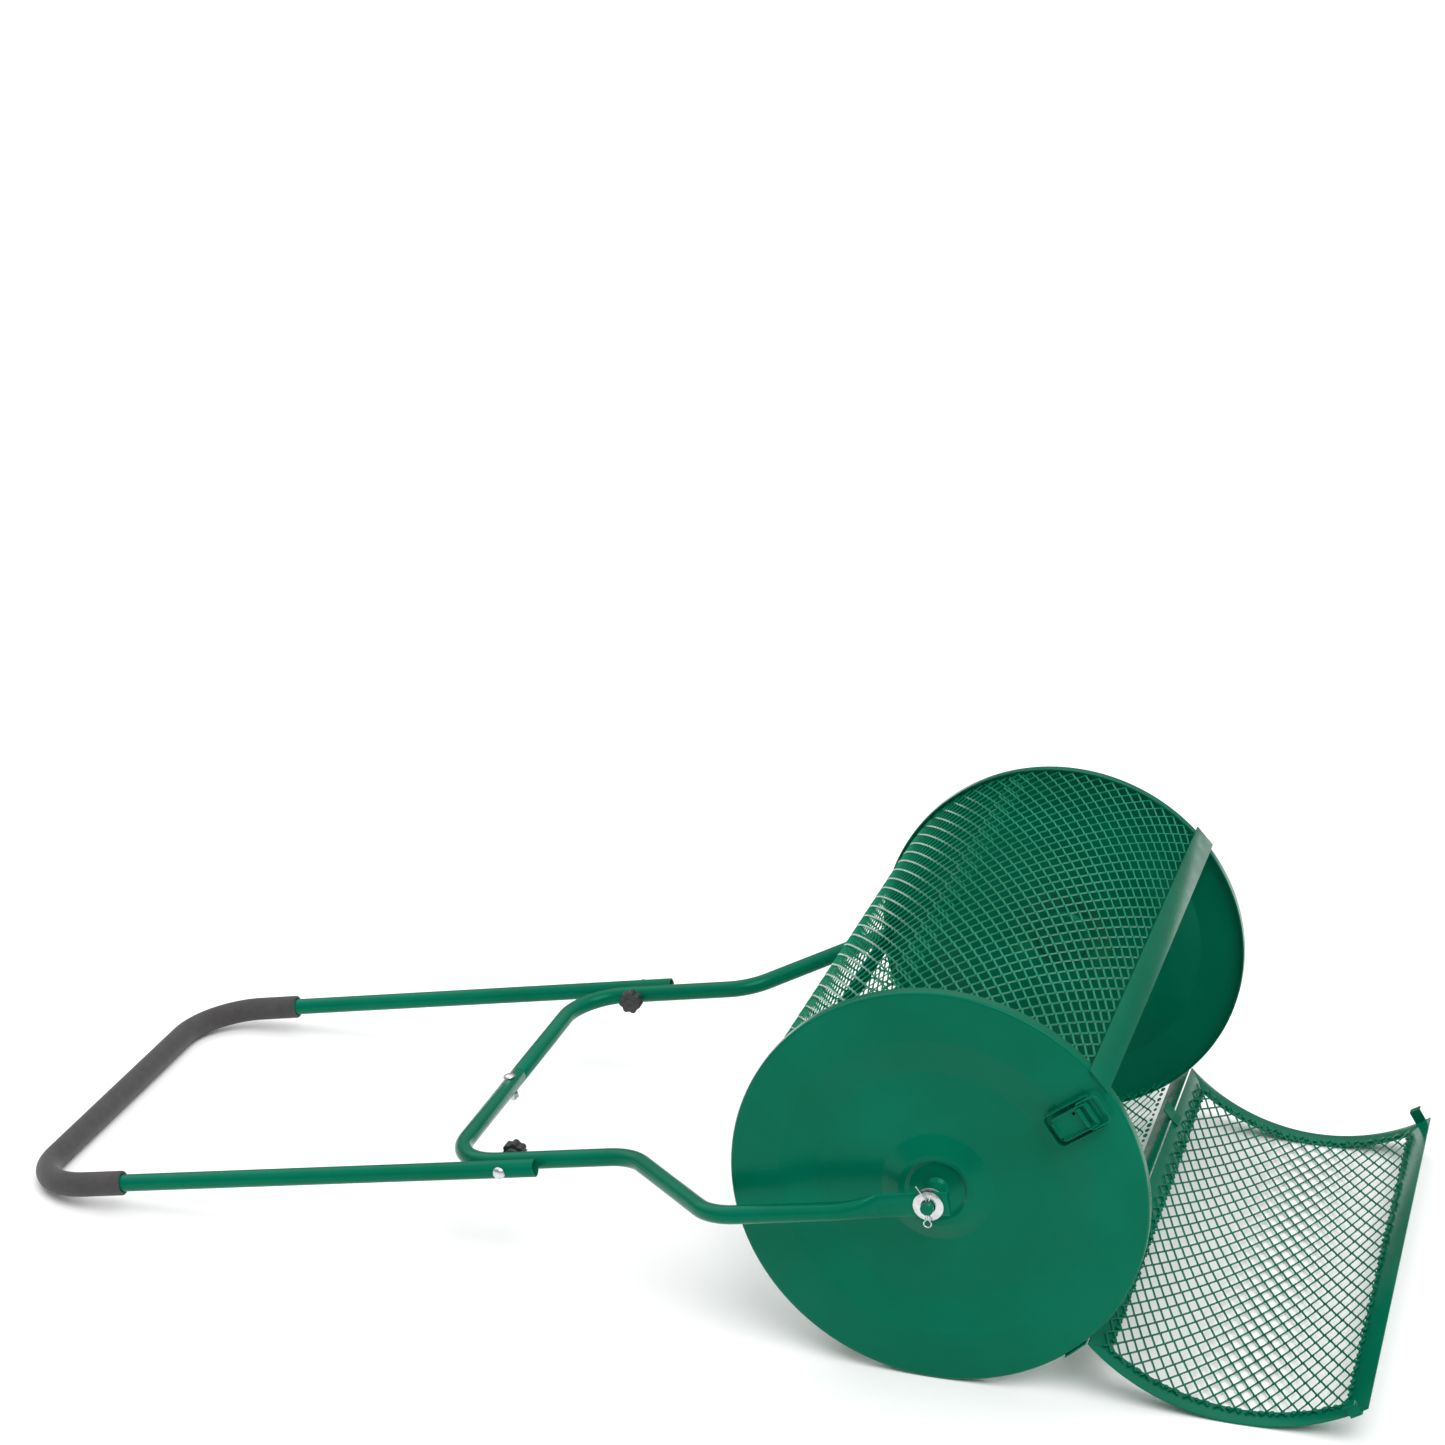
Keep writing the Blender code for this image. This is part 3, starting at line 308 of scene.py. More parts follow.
def piece(obj, name, body, finish, stands_for=(), place=None, smooth=40.0):
    """Names a finished piece, puts it in its place and hangs it on its body."""
    alone(obj)
    if place is not None:
        obj.matrix_world = place
        bpy.ops.object.transform_apply(location=True, rotation=True, scale=True)
    bpy.ops.object.shade_smooth_by_angle(angle=math.radians(smooth))
    obj.name = name
    obj.data.name = name
    obj.data.materials.clear()
    obj.data.materials.append(FINISH[finish])
    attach(obj, body)
    if stands_for:
        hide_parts(*stands_for)
    return obj


def copied(obj):
    """A copy with its own mesh."""
    alone(obj)
    bpy.ops.object.duplicate(linked=False)
    return bpy.context.object


def mirrored(obj):
    """A copy for the other side, mirrored across the middle of the axle."""
    twin = copied(obj)
    twin.scale = (-1, 1, 1)
    bpy.ops.object.transform_apply(location=False, rotation=False, scale=True)
    return facing_out(twin)


def both_sides(obj, name, body, finish, nodes, place, smooth=40.0):
    """The left-hand piece and its mirror image. A body or node name starts with {} for the side."""
    alone(obj)
    obj.matrix_world = place
    bpy.ops.object.transform_apply(location=True, rotation=True, scale=True)
    for side, made in (("left", obj), ("right", mirrored(obj))):
        stands_for = [node_name.format(side) for node_name in nodes]
        piece(made, f"{side}_{name}", body.format(side), finish, stands_for, smooth=smooth)


def joined(parts):
    """Several parts of one piece as one object."""
    select_nothing()
    for part in parts:
        part.select_set(True)
    bpy.context.view_layer.objects.active = parts[0]
    if len(parts) > 1:
        bpy.ops.object.join()
    return bpy.context.object


def drawn(points):
    """A bare line of edges through points, left open for editing with its last vertex selected."""
    obj = add(bpy.ops.mesh.primitive_plane_add, size=0.001)
    edit(obj)
    everything()
    bpy.ops.mesh.merge(type="CENTER")
    everything()
    bpy.ops.transform.translate(value=points[0])
    for here, after in zip(points, points[1:]):
        step = Vector(after) - Vector(here)
        extrude(step)
    return obj


def turned(outline, steps=64):
    """An outline of (x, radius) points spun about the axle line. It starts and ends on the axis or meets itself."""
    obj = drawn([(x, 0, radius) for x, radius in outline])
    everything()
    bpy.ops.mesh.spin(steps=steps, angle=math.tau, center=(0, 0, 0), axis=(1, 0, 0), use_auto_merge=True)
    done()
    return tidy(obj)


def soft_corners(points, radii, pieces=4):
    """Points of a line with each inner corner rounded to a radius."""
    points = [Vector(p).to_3d() for p in points]
    line = [points[0]]
    for before, here, after, radius in zip(points, points[1:], points[2:], radii):
        back, on = (before - here).normalized(), (after - here).normalized()
        half = back.angle(on) / 2
        if radius == 0 or half > math.radians(89):
            line.append(here)
            continue
        reach = min(radius / math.tan(half), (before - here).length * 0.49, (after - here).length * 0.49)
        bend = reach * math.tan(half)
        centre = here + (back + on).normalized() * bend / math.sin(half)
        first, last = here + back * reach - centre, here + on * reach - centre
        sweep = first.angle(last)
        for i in range(pieces + 1):
            part = i / pieces
            swept = first * math.sin((1 - part) * sweep) + last * math.sin(part * sweep)
            line.append(centre + swept / math.sin(sweep))
    line.append(points[-1])
    return line


def bar_ring(radius, start, heading, sides):
    """A circle that faces along a heading, open for editing and selected."""
    turn = Vector((0, 0, 1)).rotation_difference(Vector(heading)).to_euler()
    ring = add(bpy.ops.mesh.primitive_circle_add, vertices=sides, radius=radius, location=start, rotation=turn)
    edit(ring)
    everything()
    return ring


def run(obj, start, heading, moves, smoothness=5.0):
    """Carries the selected ring along: a number runs straight on, (radius, angle, axis) bends."""
    place, heading = Vector(start), Vector(heading).normalized()
    for move in moves:
        if not isinstance(move, tuple):
            extrude(heading * move)
            place = place + heading * move
            continue
        radius, angle, axis = move
        axis = Vector(axis)
        centre = place + axis.cross(heading) * radius
        turn = math.radians(angle)
        steps = max(2, round(angle / smoothness))
        # The spin operator turns the left-hand way about its axis
        bpy.ops.mesh.spin(steps=steps, angle=-turn, center=centre, axis=axis)
        spin = Matrix.Rotation(turn, 3, axis)
        place = centre + spin @ (place - centre)
        heading = spin @ heading
    return obj


def closed_ends(obj):
    """Fills every open end of a bar."""
    bpy.ops.mesh.select_all(action="DESELECT")
    bpy.ops.mesh.select_mode(type="EDGE")
    bpy.ops.mesh.select_non_manifold(extend=False, use_wire=True, use_boundary=True, use_multi_face=False,
                                     use_non_contiguous=False, use_verts=False)
    bpy.ops.mesh.edge_face_add()
    bpy.ops.mesh.select_mode(type="VERT")
    done()
    return tidy(obj)


def round_radius(radius, angle, x=0.0):
    """A point at a radius and an angle counted from the front upwards, about the axle."""
    turn = math.radians(angle)
    return Vector((x, -radius * math.cos(turn), radius * math.sin(turn)))


def turn_to(angle):
    """Turns a piece made at the front of the drum up to an angle."""
    return Matrix.Rotation(-math.radians(angle), 4, "X")


def sheet_outline(points, thickness):
    """A closed outline for a sheet: its outer line, then the line one thickness to the right of it."""
    points = [Vector((p[0], p[1])) for p in points]
    inner = []
    for i, point in enumerate(points):
        before = points[max(i - 1, 0)]
        after = points[min(i + 1, len(points) - 1)]
        along = (after - before).normalized()
        inner.append(point + Vector((along.y, -along.x)) * thickness)
    return points + inner[::-1] + points[:1]


def trimmed(obj, cuts):
    """Cuts away what lies on the side that each plane's normal points to, and closes the cut."""
    edit(obj)
    for point, normal in cuts:
        everything()
        bpy.ops.mesh.bisect(plane_co=point, plane_no=normal, use_fill=True, clear_outer=True)
    done()
    return obj


def block(low, high, bevel=0.0, segments=2):
    """A rectangular bar between two corners."""
    low, high = Vector(low), Vector(high)
    obj = add(bpy.ops.mesh.primitive_cube_add, size=1.0)
    edit(obj)
    everything()
    bpy.ops.transform.resize(value=high - low)
    bpy.ops.transform.translate(value=(low + high) / 2)
    done()
    return rounded_edges(obj, bevel, segments) if bevel else obj


def round_bar(radius, start, end, sides=32, bevel=0.0):
    """A cylinder from one point to another."""
    start, end = Vector(start), Vector(end)
    turn = Vector((0, 0, 1)).rotation_difference(end - start).to_euler()
    obj = add(bpy.ops.mesh.primitive_cylinder_add, vertices=sides, radius=radius,
              depth=(end - start).length, location=(start + end) / 2, rotation=turn)
    return rounded_edges(obj, bevel) if bevel else obj


def with_cut(obj, cutter, operation="DIFFERENCE"):
    """A Boolean with another object, which is used up."""
    modified(obj, "BOOLEAN", operation=operation, solver="EXACT", object=cutter)
    bpy.data.objects.remove(cutter, do_unlink=True)
    return obj


# ------------------------------------------------------------------ expanded metal


def expanded_sheet(radius, half_length, angle_low, angle_high, shift=0.0):
    """A rolled sheet of expanded metal, made as the press makes it: one wavy strip after another,
    each bonded to the next at its crests and twisted a little out of the sheet."""
    pitch = DIAMOND_SHORT / 2
    lift = STRAND_WIDTH * math.sin(STRAND_TILT) / 2  # a strand's twist carries its two edges apart
    swing = (pitch - STRAND_WIDTH * math.cos(STRAND_TILT)) / 2
    slant = DIAMOND_LONG / 2 - BOND_LENGTH
    thick = Vector((0, math.cos(STRAND_TILT), math.sin(STRAND_TILT)))
    wide = Vector((0, -math.sin(STRAND_TILT), math.cos(STRAND_TILT)))
    facing = Matrix((thick, wide, Vector((1, 0, 0)))).transposed().to_euler()
    waves = math.ceil(2 * half_length / DIAMOND_LONG) + 2
    start = Vector((-half_length - DIAMOND_LONG * 0.75 - shift, -radius + lift, swing))
    strip = add(bpy.ops.mesh.primitive_plane_add, size=1.0, rotation=facing)
    edit(strip)
    everything()
    work = bmesh.from_edit_mesh(strip.data)
    for vertex in work.verts:
        across, up = vertex.co.dot(thick), vertex.co.dot(wide)
        vertex.co = thick * across * STRAND_THICKNESS + wide * up * STRAND_WIDTH + start
    bmesh.update_edit_mesh(strip.data)
    bpy.ops.mesh.delete(type="ONLY_FACE")
    everything()
    bond = (BOND_LENGTH, 0, 0)
    for step in (bond, (slant, -2 * lift, -2 * swing), bond, (slant, 2 * lift, 2 * swing)):
        extrude(step)
    done()
    modified(strip, "ARRAY", count=waves, use_relative_offset=False, use_constant_offset=True,
             constant_offset_displace=(DIAMOND_LONG, 0, 0), use_merge_vertices=True, merge_threshold=0.00001)
    pairs = max(1, int(math.radians(angle_high - angle_low) * radius / DIAMOND_SHORT))
    row_turn = math.radians(angle_high - angle_low) / (2 * pairs)
    edit(strip)
    everything()
    bpy.ops.mesh.spin(steps=1, dupli=True, angle=row_turn, center=(0, 0, 0), axis=(1, 0, 0))
    bpy.ops.transform.translate(value=(DIAMOND_LONG / 2, 0, 0))
    everything()
    bpy.ops.mesh.spin(steps=pairs - 1, dupli=True, angle=2 * row_turn * (pairs - 1), center=(0, 0, 0),
                      axis=(1, 0, 0))
    done()
    ends = [(Vector((half_length * side, 0, 0)), Vector((side, 0, 0))) for side in (-1, 1)]
    trimmed(strip, ends)
    return facing_out(strip)


def spot_welds(places, size, seed):
    """Small flattened beads of weld, each a little different, as one piece."""
    rng = random.Random(seed)
    beads = []
    first = add(bpy.ops.mesh.primitive_ico_sphere_add, subdivisions=2, radius=1.0)
    for place, outward in places:
        bead = first.copy()
        bead.data = first.data.copy()
        bpy.context.scene.collection.objects.link(bead)
        turn = Vector((0, 0, 1)).rotation_difference(outward).to_matrix().to_4x4()
        grow = size * rng.uniform(0.75, 1.25)
        shape = Matrix.Diagonal((grow * rng.uniform(0.8, 1.3), grow, grow * 0.55, 1))
        bead.data.transform(Matrix.Translation(place) @ turn @ Matrix.Rotation(rng.uniform(0, 3), 4, "Z") @ shape)
        beads.append(bead)
    bpy.data.objects.remove(first, do_unlink=True)
    return joined(beads)


# ------------------------------------------------------------------ drum


def end_disc():
    """The pressed disc, with its rolled rim, recessed ring, raised hub and dished centre."""
    face = [(DISC_FACE - 0.012, RIM_RADIUS), (DISC_FACE, RIM_RADIUS), (DISC_FACE, 0.1510),
            (DISC_FACE - 0.007, 0.1165), (DISC_FACE - 0.007, 0.0540), (DISC_FACE + 0.001, 0.0360), (DISC_FACE + 0.001, 0.0300),
            (DISC_FACE - 0.0025, 0.0262), (DISC_FACE - 0.0025, 0.0088)]
    line = soft_corners([(x, r, 0) for x, r in face], [0.0028, 0.005, 0.005, 0.005, 0.004, 0.0015, 0.0015])
    outline = sheet_outline([(-p.x, p.y) for p in line[::-1]], SHEET)
    disc = turned([(p.x, p.y) for p in outline], steps=160)
    both_sides(disc, "pressed_disc", "drum", "green_powder_coat", ["{}_end_disc"], AT_AXLE, smooth=30)


def drum_mesh():
    """Two expanded sheets round the drum, lapped over each other at the upper back."""
    for name, radius, low, high, shift, nodes in (("upper", 0.1962, 44.5, 109.0, 0.0, ["drum_mesh_wall"]),
                                                  ("back", 0.1944, 102.0, 308.5, 0.007, ())):
        sheet = expanded_sheet(radius, MESH_REACH, low, high, shift)
        # The drum's sheets take the lighter strand green, a painted highlight; the door's sheet keeps the plain
        # coat
        piece(sheet, f"drum_mesh_{name}_sheet", "drum", "green_coat_on_strands", nodes,
              AT_AXLE @ turn_to(low), 30)


def drum_strips():
    """The flat bars of the drum: one above the door, one that carries the hinge, two inside the back."""
    turn = math.degrees(STRIP_WIDTH / STRIP_OUTSIDE)
    jamb = SEAM_ANGLE + math.degrees(SEAM_GAP / STRIP_OUTSIDE) + turn / 2
    sill = HINGE_ANGLE - math.degrees(HINGE_GAP / STRIP_OUTSIDE) - turn / 2
    for name, angle, half in (("latch", jamb, 0.309), ("hinge", sill, 0.305)):
        bar = block((-half, -STRIP_FACE - SHEET, -STRIP_WIDTH / 2), (half, -STRIP_FACE, STRIP_WIDTH / 2), 0.0004)
        piece(bar, f"drum_{name}_bar", "drum", "green_powder_coat", [f"drum_{name}_side_strip"],
              AT_AXLE @ turn_to(angle))
    for which, angle in (("upper", 185.0), ("lower", 245.0)):
        brace = block((-0.3032, -0.1944, -0.0125), (0.3032, -0.1924, 0.0125), 0.0005)
        piece(brace, f"back_brace_{which}", "drum", "green_powder_coat", [f"drum_back_brace_{which}"],
              AT_AXLE @ turn_to(angle))


def drum_welds():
    """Welds that hold the mesh to the bars and to the rims of the discs."""
    places = []
    for angle in (44.6, -51.2):
        for i in range(46):
            x = -0.285 + i * 0.570 / 45
            places.append((round_radius(0.1950, angle, x), -round_radius(1, angle)))
    for side in (-1, 1):
        for i in range(58):
            angle = 48 + i * 256 / 57
            places.append((round_radius(0.1935, angle, side * 0.2915), -round_radius(1, angle)))
    piece(spot_welds(places, 0.0025, 7), "drum_mesh_welds", "drum", "green_powder_coat", (), AT_AXLE)


def axle_ends():
    """Boss with its weld, chamfered axle, two washers and a split pin on each side."""
    boss = turned([(-0.295, 0.0067), (-0.295, 0.0085), (-0.3015, 0.0085), (-0.3020, 0.0128), (-0.3034, 0.0122),
                   (-0.3050, 0.0101), (-0.3072, 0.0087), (-0.3272, 0.0085), (-0.3280, 0.0078), (-0.3280, 0.0067),
                   (-0.295, 0.0067)], steps=48)
    both_sides(boss, "boss", "drum", "green_powder_coat", ["{}_axle_boss"], AT_AXLE)
    stub = turned([(-0.2907, 0.0), (-0.2907, 0.0088), (-0.2915, 0.0099), (-0.2938, 0.0099), (-0.2946, 0.0088),
                   (-0.2947, 0.0062), (-0.3440, 0.0062), (-0.3453, 0.0049), (-0.3453, 0.0)], steps=48)
    stub = with_cut(stub, round_bar(0.0018, (-0.3401, 0, -0.02), (-0.3401, 0, 0.02), 24))
    both_sides(stub, "axle", "drum", "green_powder_coat", ["{}_axle_stub"], AT_AXLE)
    for which, x in (("inner", -0.3283), ("outer", -0.3364)):
        ring = turned([(x, 0.0068), (x, 0.0140), (x - 0.0003, 0.0145), (x - 0.0012, 0.0145), (x - 0.0015, 0.0141),
                       (x - 0.0015, 0.0071), (x - 0.0012, 0.0068), (x, 0.0068)], steps=56)
        both_sides(ring, f"{which}_flat_washer", "drum", "zinc_plate", ["{}_" + which + "_washer"], AT_AXLE)
    wire = 0.00068
    end = (-0.3401, 0.0116, 0.0202)
    pin = bar_ring(wire, end, (0, -0.62, -0.78), 12)
    run(pin, end, (0, -0.62, -0.78),
        [0.0155, (0.006, 37.5, (1, 0, 0)), 0.0150, (0.0040, 51.3, (1, 0, 0)), (0.0036, 282.6, (-1, 0, 0)),
         (0.0040, 51.3, (1, 0, 0)), 0.0160, (0.006, 20.0, (1, 0, 0)), 0.0070], 15)
    closed_ends(pin)
    both_sides(pin, "split_pin", "drum", "zinc_plate", ["{}_cotter_pin"], AT_AXLE)


# ------------------------------------------------------------------ door


def door_angles():
    """Where the door's frame runs from and to, outer and inner edges, when it is shut."""
    low = HINGE_ANGLE + math.degrees(HINGE_GAP / STRIP_OUTSIDE)
    high = SEAM_ANGLE - math.degrees(SEAM_GAP / STRIP_OUTSIDE)
    turn = math.degrees(DOOR_STRIP / STRIP_OUTSIDE)
    return low, low + turn, high - turn, high


def door_frame():
    """Two flat bars and two rolled bars with mitred corners."""
    low, low_inner, high_inner, high = door_angles()
    outer, inner = FRAME_REACH, FRAME_REACH - DOOR_STRIP
    half = DOOR_STRIP / 2
    for name, angle, edge in (("hinge", (low + low_inner) / 2, -1), ("latch", (high + high_inner) / 2, 1)):
        bar = block((-outer, -STRIP_FACE - SHEET, -half), (outer, -STRIP_FACE, half))
        cuts = []
        for side in (-1, 1):
            along = Vector((side * (inner - outer), 0, -edge * 2 * half))
            normal = Vector((along.z, 0, -along.x)).normalized()
            normal *= 1 if normal.x * side > 0 else -1
            cuts.append((Vector((side * outer, 0, edge * half)), normal))
        trimmed(bar, cuts)
        rounded_edges(bar, 0.0003, 2)
        piece(bar, f"door_{name}_bar", "door", "green_powder_coat", [f"door_{name}_side_strip"],
              AT_DOOR @ turn_to(angle))
    base, top = 0.1996, 0.2011
    section = [(-outer, base), (-inner, base), (-inner, top), (-outer, top)]
    arc = drawn([(x, -radius, 0) for x, radius in section + section[:1]])
    everything()
    bpy.ops.mesh.remove_doubles(threshold=0.00002)
    sweep = math.radians(high - low)
    bpy.ops.mesh.spin(steps=48, angle=sweep, center=(0, 0, 0), axis=(1, 0, 0))
    closed_ends(arc)
    cuts = []
    for edge, far, away in ((0.0, low_inner - low, -1), (high - low, high_inner - low, 1)):
        corner = round_radius(0.2, edge, -outer)
        inside = round_radius(0.2, far, -inner)
        radial = round_radius(1, (edge + far) / 2)
        normal = (inside - corner).cross(radial).normalized()
        normal *= 1 if normal.dot(round_radius(1, (edge + far) / 2 + 90)) * away > 0 else -1
        cuts.append((corner, normal))
    trimmed(arc, cuts)
    rounded_edges(arc, 0.0003, 2, 50)
    arc.data.transform(AT_AXLE.inverted() @ AT_DOOR @ turn_to(low))
    both_sides(arc, "door_arc_bar", "door", "green_powder_coat", ["door_{}_arc_strip"], AT_AXLE)


def door_mesh():
    """The door's expanded sheet, cut back to lap 9 mm over its frame, and the welds along its edge."""
    low, low_inner, high_inner, high = door_angles()
    lap = math.degrees(0.009 / 0.2)
    first, last = low_inner - lap, high_inner + lap
    sheet = expanded_sheet(0.1983, 0.2890, first, last)
    piece(sheet, "door_expanded_mesh", "door", "green_powder_coat", ["door_mesh_panel"],
          AT_DOOR @ turn_to(first), 30)
    places = []
    for angle in (low_inner - 0.6, high_inner + 0.6):
        for i in range(47):
            x = -0.281 + i * 0.562 / 46
            places.append((round_radius(0.1980, angle, x), -round_radius(1, angle)))
    for side in (-1, 1):
        for i in range(24):
            angle = low_inner + (high_inner - low_inner) * i / 23
            places.append((round_radius(0.1982, angle, side * 0.2838), -round_radius(1, angle)))
    piece(spot_welds(places, 0.0024, 11), "door_mesh_welds", "door", "green_powder_coat", (), AT_DOOR)


# ------------------------------------------------------------------ latches
# In a latch's frame the lever's pivot is the origin, -X leads away from the disc, -Y to the rim.


def tray(low_y, high_y, half_width, x, corner):
    """A flat plate across a latch, with its two corners nearest the axle cut round, open for editing."""
    plate = add(bpy.ops.mesh.primitive_plane_add, size=1.0, rotation=(0, math.pi / 2, 0))
    edit(plate)
    everything()
    bpy.ops.transform.resize(value=(1, high_y - low_y, 2 * half_width))
    bpy.ops.transform.translate(value=(x, (low_y + high_y) / 2, 0))
    pick(plate, lambda v: v.y > high_y - 0.001)
    bpy.ops.mesh.bevel(offset=corner, segments=5, affect="VERTICES")
    return plate


def latch():
    """Tray, rivet, embossed lever with its barrels, and the wire loop that hooks the keeper."""
    half = 0.0174
    base = tray(-0.006, 0.044, half - 0.0006, 0.0051, 0.006)
    pick(base, lambda v: v.y > -0.0055, "edges")
    extrude((-0.0076, 0, 0))
    done()
    tidy(base)
    modified(base, "SOLIDIFY", thickness=0.0012, offset=0.0, use_even_offset=True)
    rounded_edges(base, 0.0003, 2)
    both_sides(base, "latch_tray", "drum", "green_powder_coat", ["{}_latch_base"], AT_LATCH)

    pin = round_bar(0.0015, (0, 0, -half - 0.0012), (0, 0, half + 0.0012), 20, 0.0003)
    both_sides(pin, "latch_rivet", "drum", "green_powder_coat", ["{}_latch_pin"], AT_LATCH)

    lever = tray(-0.0015, 0.036, 0.0118, -0.0015, 0.004)
    everything()
    bpy.ops.mesh.inset(thickness=0.0034)
    bpy.ops.transform.translate(value=(0.0014, 0, 0))
    pick(lever, lambda v: v.y > -0.0010 and abs(v.z) > 0.0105, "edges")
    extrude((-0.0034, 0, 0))
    pick(lever, lambda v: v.y > 0.0355 and v.x < 0 and abs(v.z) < 0.005, "edges")
    extrude((-0.0022, 0.0016, 0))
    done()
    tidy(lever)
    modified(lever, "SOLIDIFY", thickness=0.0013, offset=0.0, use_even_offset=True)
    rounded_edges(lever, 0.0003, 2)
    lever = with_cut(lever, round_bar(0.0016, (-0.01, 0.0145, 0.0068), (0.01, 0.0145, 0.0068), 20))
    barrels = [round_bar(0.0030, (0, 0, -0.0125), (0, 0, 0.0125), 24, 0.0003),
               round_bar(0.0022, (-0.0032, 0.0075, -0.0100), (-0.0032, 0.0075, 0.0100), 24, 0.0003)]
    lever = joined([lever] + barrels)
    both_sides(lever, "latch_handle", "{}_latch_lever", "green_powder_coat", ["{}_latch_lever"], AT_LATCH)

    wire, x, y, span, far = 0.0011, -0.0032, 0.0075, 0.0142, -0.0142
    loop = bar_ring(wire, (x, y, 0), (0, 0, 1), 12)
    side = y - far - 0.003 - 0.005
    near_bend, far_bend = (0.003, 90.0, (1, 0, 0)), (0.005, 90.0, (1, 0, 0))
    run(loop, (x, y, 0), (0, 0, 1), [span - 0.003, near_bend, side, far_bend, 2 * span - 0.010,
                                     far_bend, side, near_bend, span - 0.003], 12)
    done()
    tidy(loop)
    both_sides(loop, "latch_wire_loop", "{}_latch_bail", "green_powder_coat", ["{}_latch_bail"], AT_LATCH)


# ------------------------------------------------------------------ handle


def lower_arms():
    """Bent tubes with their ends crushed flat on the axle, meeting end to end in the crossbar."""
    sides = 40
    flat_x, outer_x = -0.3331, -0.3421
    start = Vector((flat_x, -0.019, 0))
    tube = bar_ring(TUBE_RADIUS, start, (0, 1, 0), sides)
    wide, thin = 0.0245 / 0.018, 0.0060 / 0.018
    bpy.ops.transform.resize(value=(thin, 1, wide), center_override=start)
    place = start.copy()
    shape = Vector((thin, wide))
    for y in [0.0, 0.025, 0.049] + [0.049 + 0.046 * (i / 10) ** 1.5 for i in range(1, 11)]:
        share = 1 - (1 - max((y - 0.049) / 0.046, 0.0)) ** 2.2
        target = Vector((flat_x + (outer_x - flat_x) * share, y, 0))
        extrude(target - place)
        grown = Vector((thin + (1 - thin) * share, wide + (1 - wide) * share))
        bpy.ops.transform.resize(value=(grown.x / shape.x, 1, grown.y / shape.y), center_override=target)
        place, shape = target, grown
    turn = math.degrees(math.atan2(-outer_x - ARM_INNER_X, 0.122))
    bend = 0.055
    reach = bend * math.tan(math.radians(turn / 2))
    slope = math.hypot(-outer_x - ARM_INNER_X, 0.122)
    down = (0, 0, -1)
    run(tube, place, (0, 1, 0), [
        0.212 - reach - place.y, (bend, turn, down), slope - 2 * reach, (bend, turn, (0, 0, 1)),
        CROSSBAR_AT - 0.334 - reach - bend, (bend, 90.0, down), ARM_INNER_X - bend - 0.00015])
    closed_ends(tube)
    rounded_edges(tube, 0.0006, 2, 60)
    tube = with_cut(tube, round_bar(0.0067, (-0.4, 0, 0), (-0.3, 0, 0), 40))
    both_sides(tube, "arm_tube", "handle", "green_powder_coat", ["{}_lower_arm"], AT_HANDLE, smooth=35)


def domed_bolt(head_at, shank_to, radius=0.003, head=0.0065):
    """A round-headed bolt along X, with its head's seat at one x and its tip at the other."""
    out = 1 if head_at > shank_to else -1
    dome = ((0.0034, 0.0), (0.0033, 0.25), (0.0028, 0.55), (0.0018, 0.83), (0.0006, 0.98), (0.0, 1.0))
    outline = [(head_at + out * rise, head * share) for rise, share in dome]
    outline += [(head_at, radius), (shank_to + out * 0.0006, radius), (shank_to, radius * 0.75), (shank_to, 0.0)]
    return turned(outline, steps=32)


def crossbar_bolt():
    """The bolt through the crossbar joint, head on top, its nut and thread end below."""
    upright = Matrix.Translation((-0.022, CROSSBAR_AT, 0)) @ Matrix.Rotation(-math.pi / 2, 4, "Y")
    bolt = domed_bolt(0.0093, -0.0173)
    piece(bolt, "crossbar_dome_bolt", "handle", "zinc_plate", ["crossbar_bolt"], AT_HANDLE @ upright)
    nut = round_bar(0.0062, (-0.0093, 0, 0), (-0.0143, 0, 0), 6)
    chamfers = turned([(-0.0080, 0.0), (-0.0080, 0.0057), (-0.0093, 0.0059), (-0.0098, 0.0066),
                       (-0.0138, 0.0066), (-0.0143, 0.0059), (-0.0156, 0.0057), (-0.0156, 0.0)])
    nut = with_cut(nut, chamfers, "INTERSECT")
    nut = with_cut(nut, round_bar(0.0032, (0, 0, 0), (-0.03, 0, 0), 24))
    piece(nut, "crossbar_hex_nut", "handle", "zinc_plate", ["crossbar_nut"], AT_HANDLE @ upright, smooth=25)


def clamps():
    """The clamp bolts' domed heads and the seven-lobed knobs."""
    bolt = domed_bolt(-0.2353, -0.1886)
    at_clamp = AT_HANDLE @ Matrix.Translation((0, CLAMP_AT, 0))
    both_sides(bolt, "clamp_dome_bolt", "handle", "zinc_plate", ["{}_clamp_bolt"], at_clamp)
    lobes, around = 7, 84
    knob = add(bpy.ops.mesh.primitive_cylinder_add, vertices=around, radius=0.0124, depth=0.0118,
               location=(-0.1885, 0, 0), rotation=(0, math.pi / 2, 0), end_fill_type="NGON")
    edit(knob)
    everything()
    for step in range(around // 2):
        share = (1 + math.cos(lobes * math.tau * step / around)) / 2
        if share < 0.999:
            shrink = 1 - 0.17 * (1 - share) ** 1.5
            angle = math.tau * step / around

            def on_spoke(v, angle=angle):
                turn = math.atan2(v.z, v.y)
                return min(abs(abs(turn) - angle), math.tau - abs(abs(turn) - angle)) < 0.02
            pick(knob, on_spoke)
            bpy.ops.transform.resize(value=(1, shrink, shrink), center_override=(-0.1885, 0, 0))
    done()
    rounded_edges(knob, 0.0022, 4, 50)
    face = turned([(-0.1830, 0.0), (-0.1822, 0.0030), (-0.1818, 0.0050), (-0.1822, 0.0066), (-0.1832, 0.0074),
                   (-0.1860, 0.0070), (-0.1860, 0.0)], steps=36)
    collar = turned([(-0.1920, 0.0), (-0.1920, 0.0078), (-0.1980, 0.0074), (-0.1984, 0.0070), (-0.1984, 0.0)],
                    steps=36)
    knob = joined([knob, face, collar])
    both_sides(knob, "star_knob", "{}_knob", "black_plastic", ["{}_clamp_knob"], at_clamp, smooth=50)


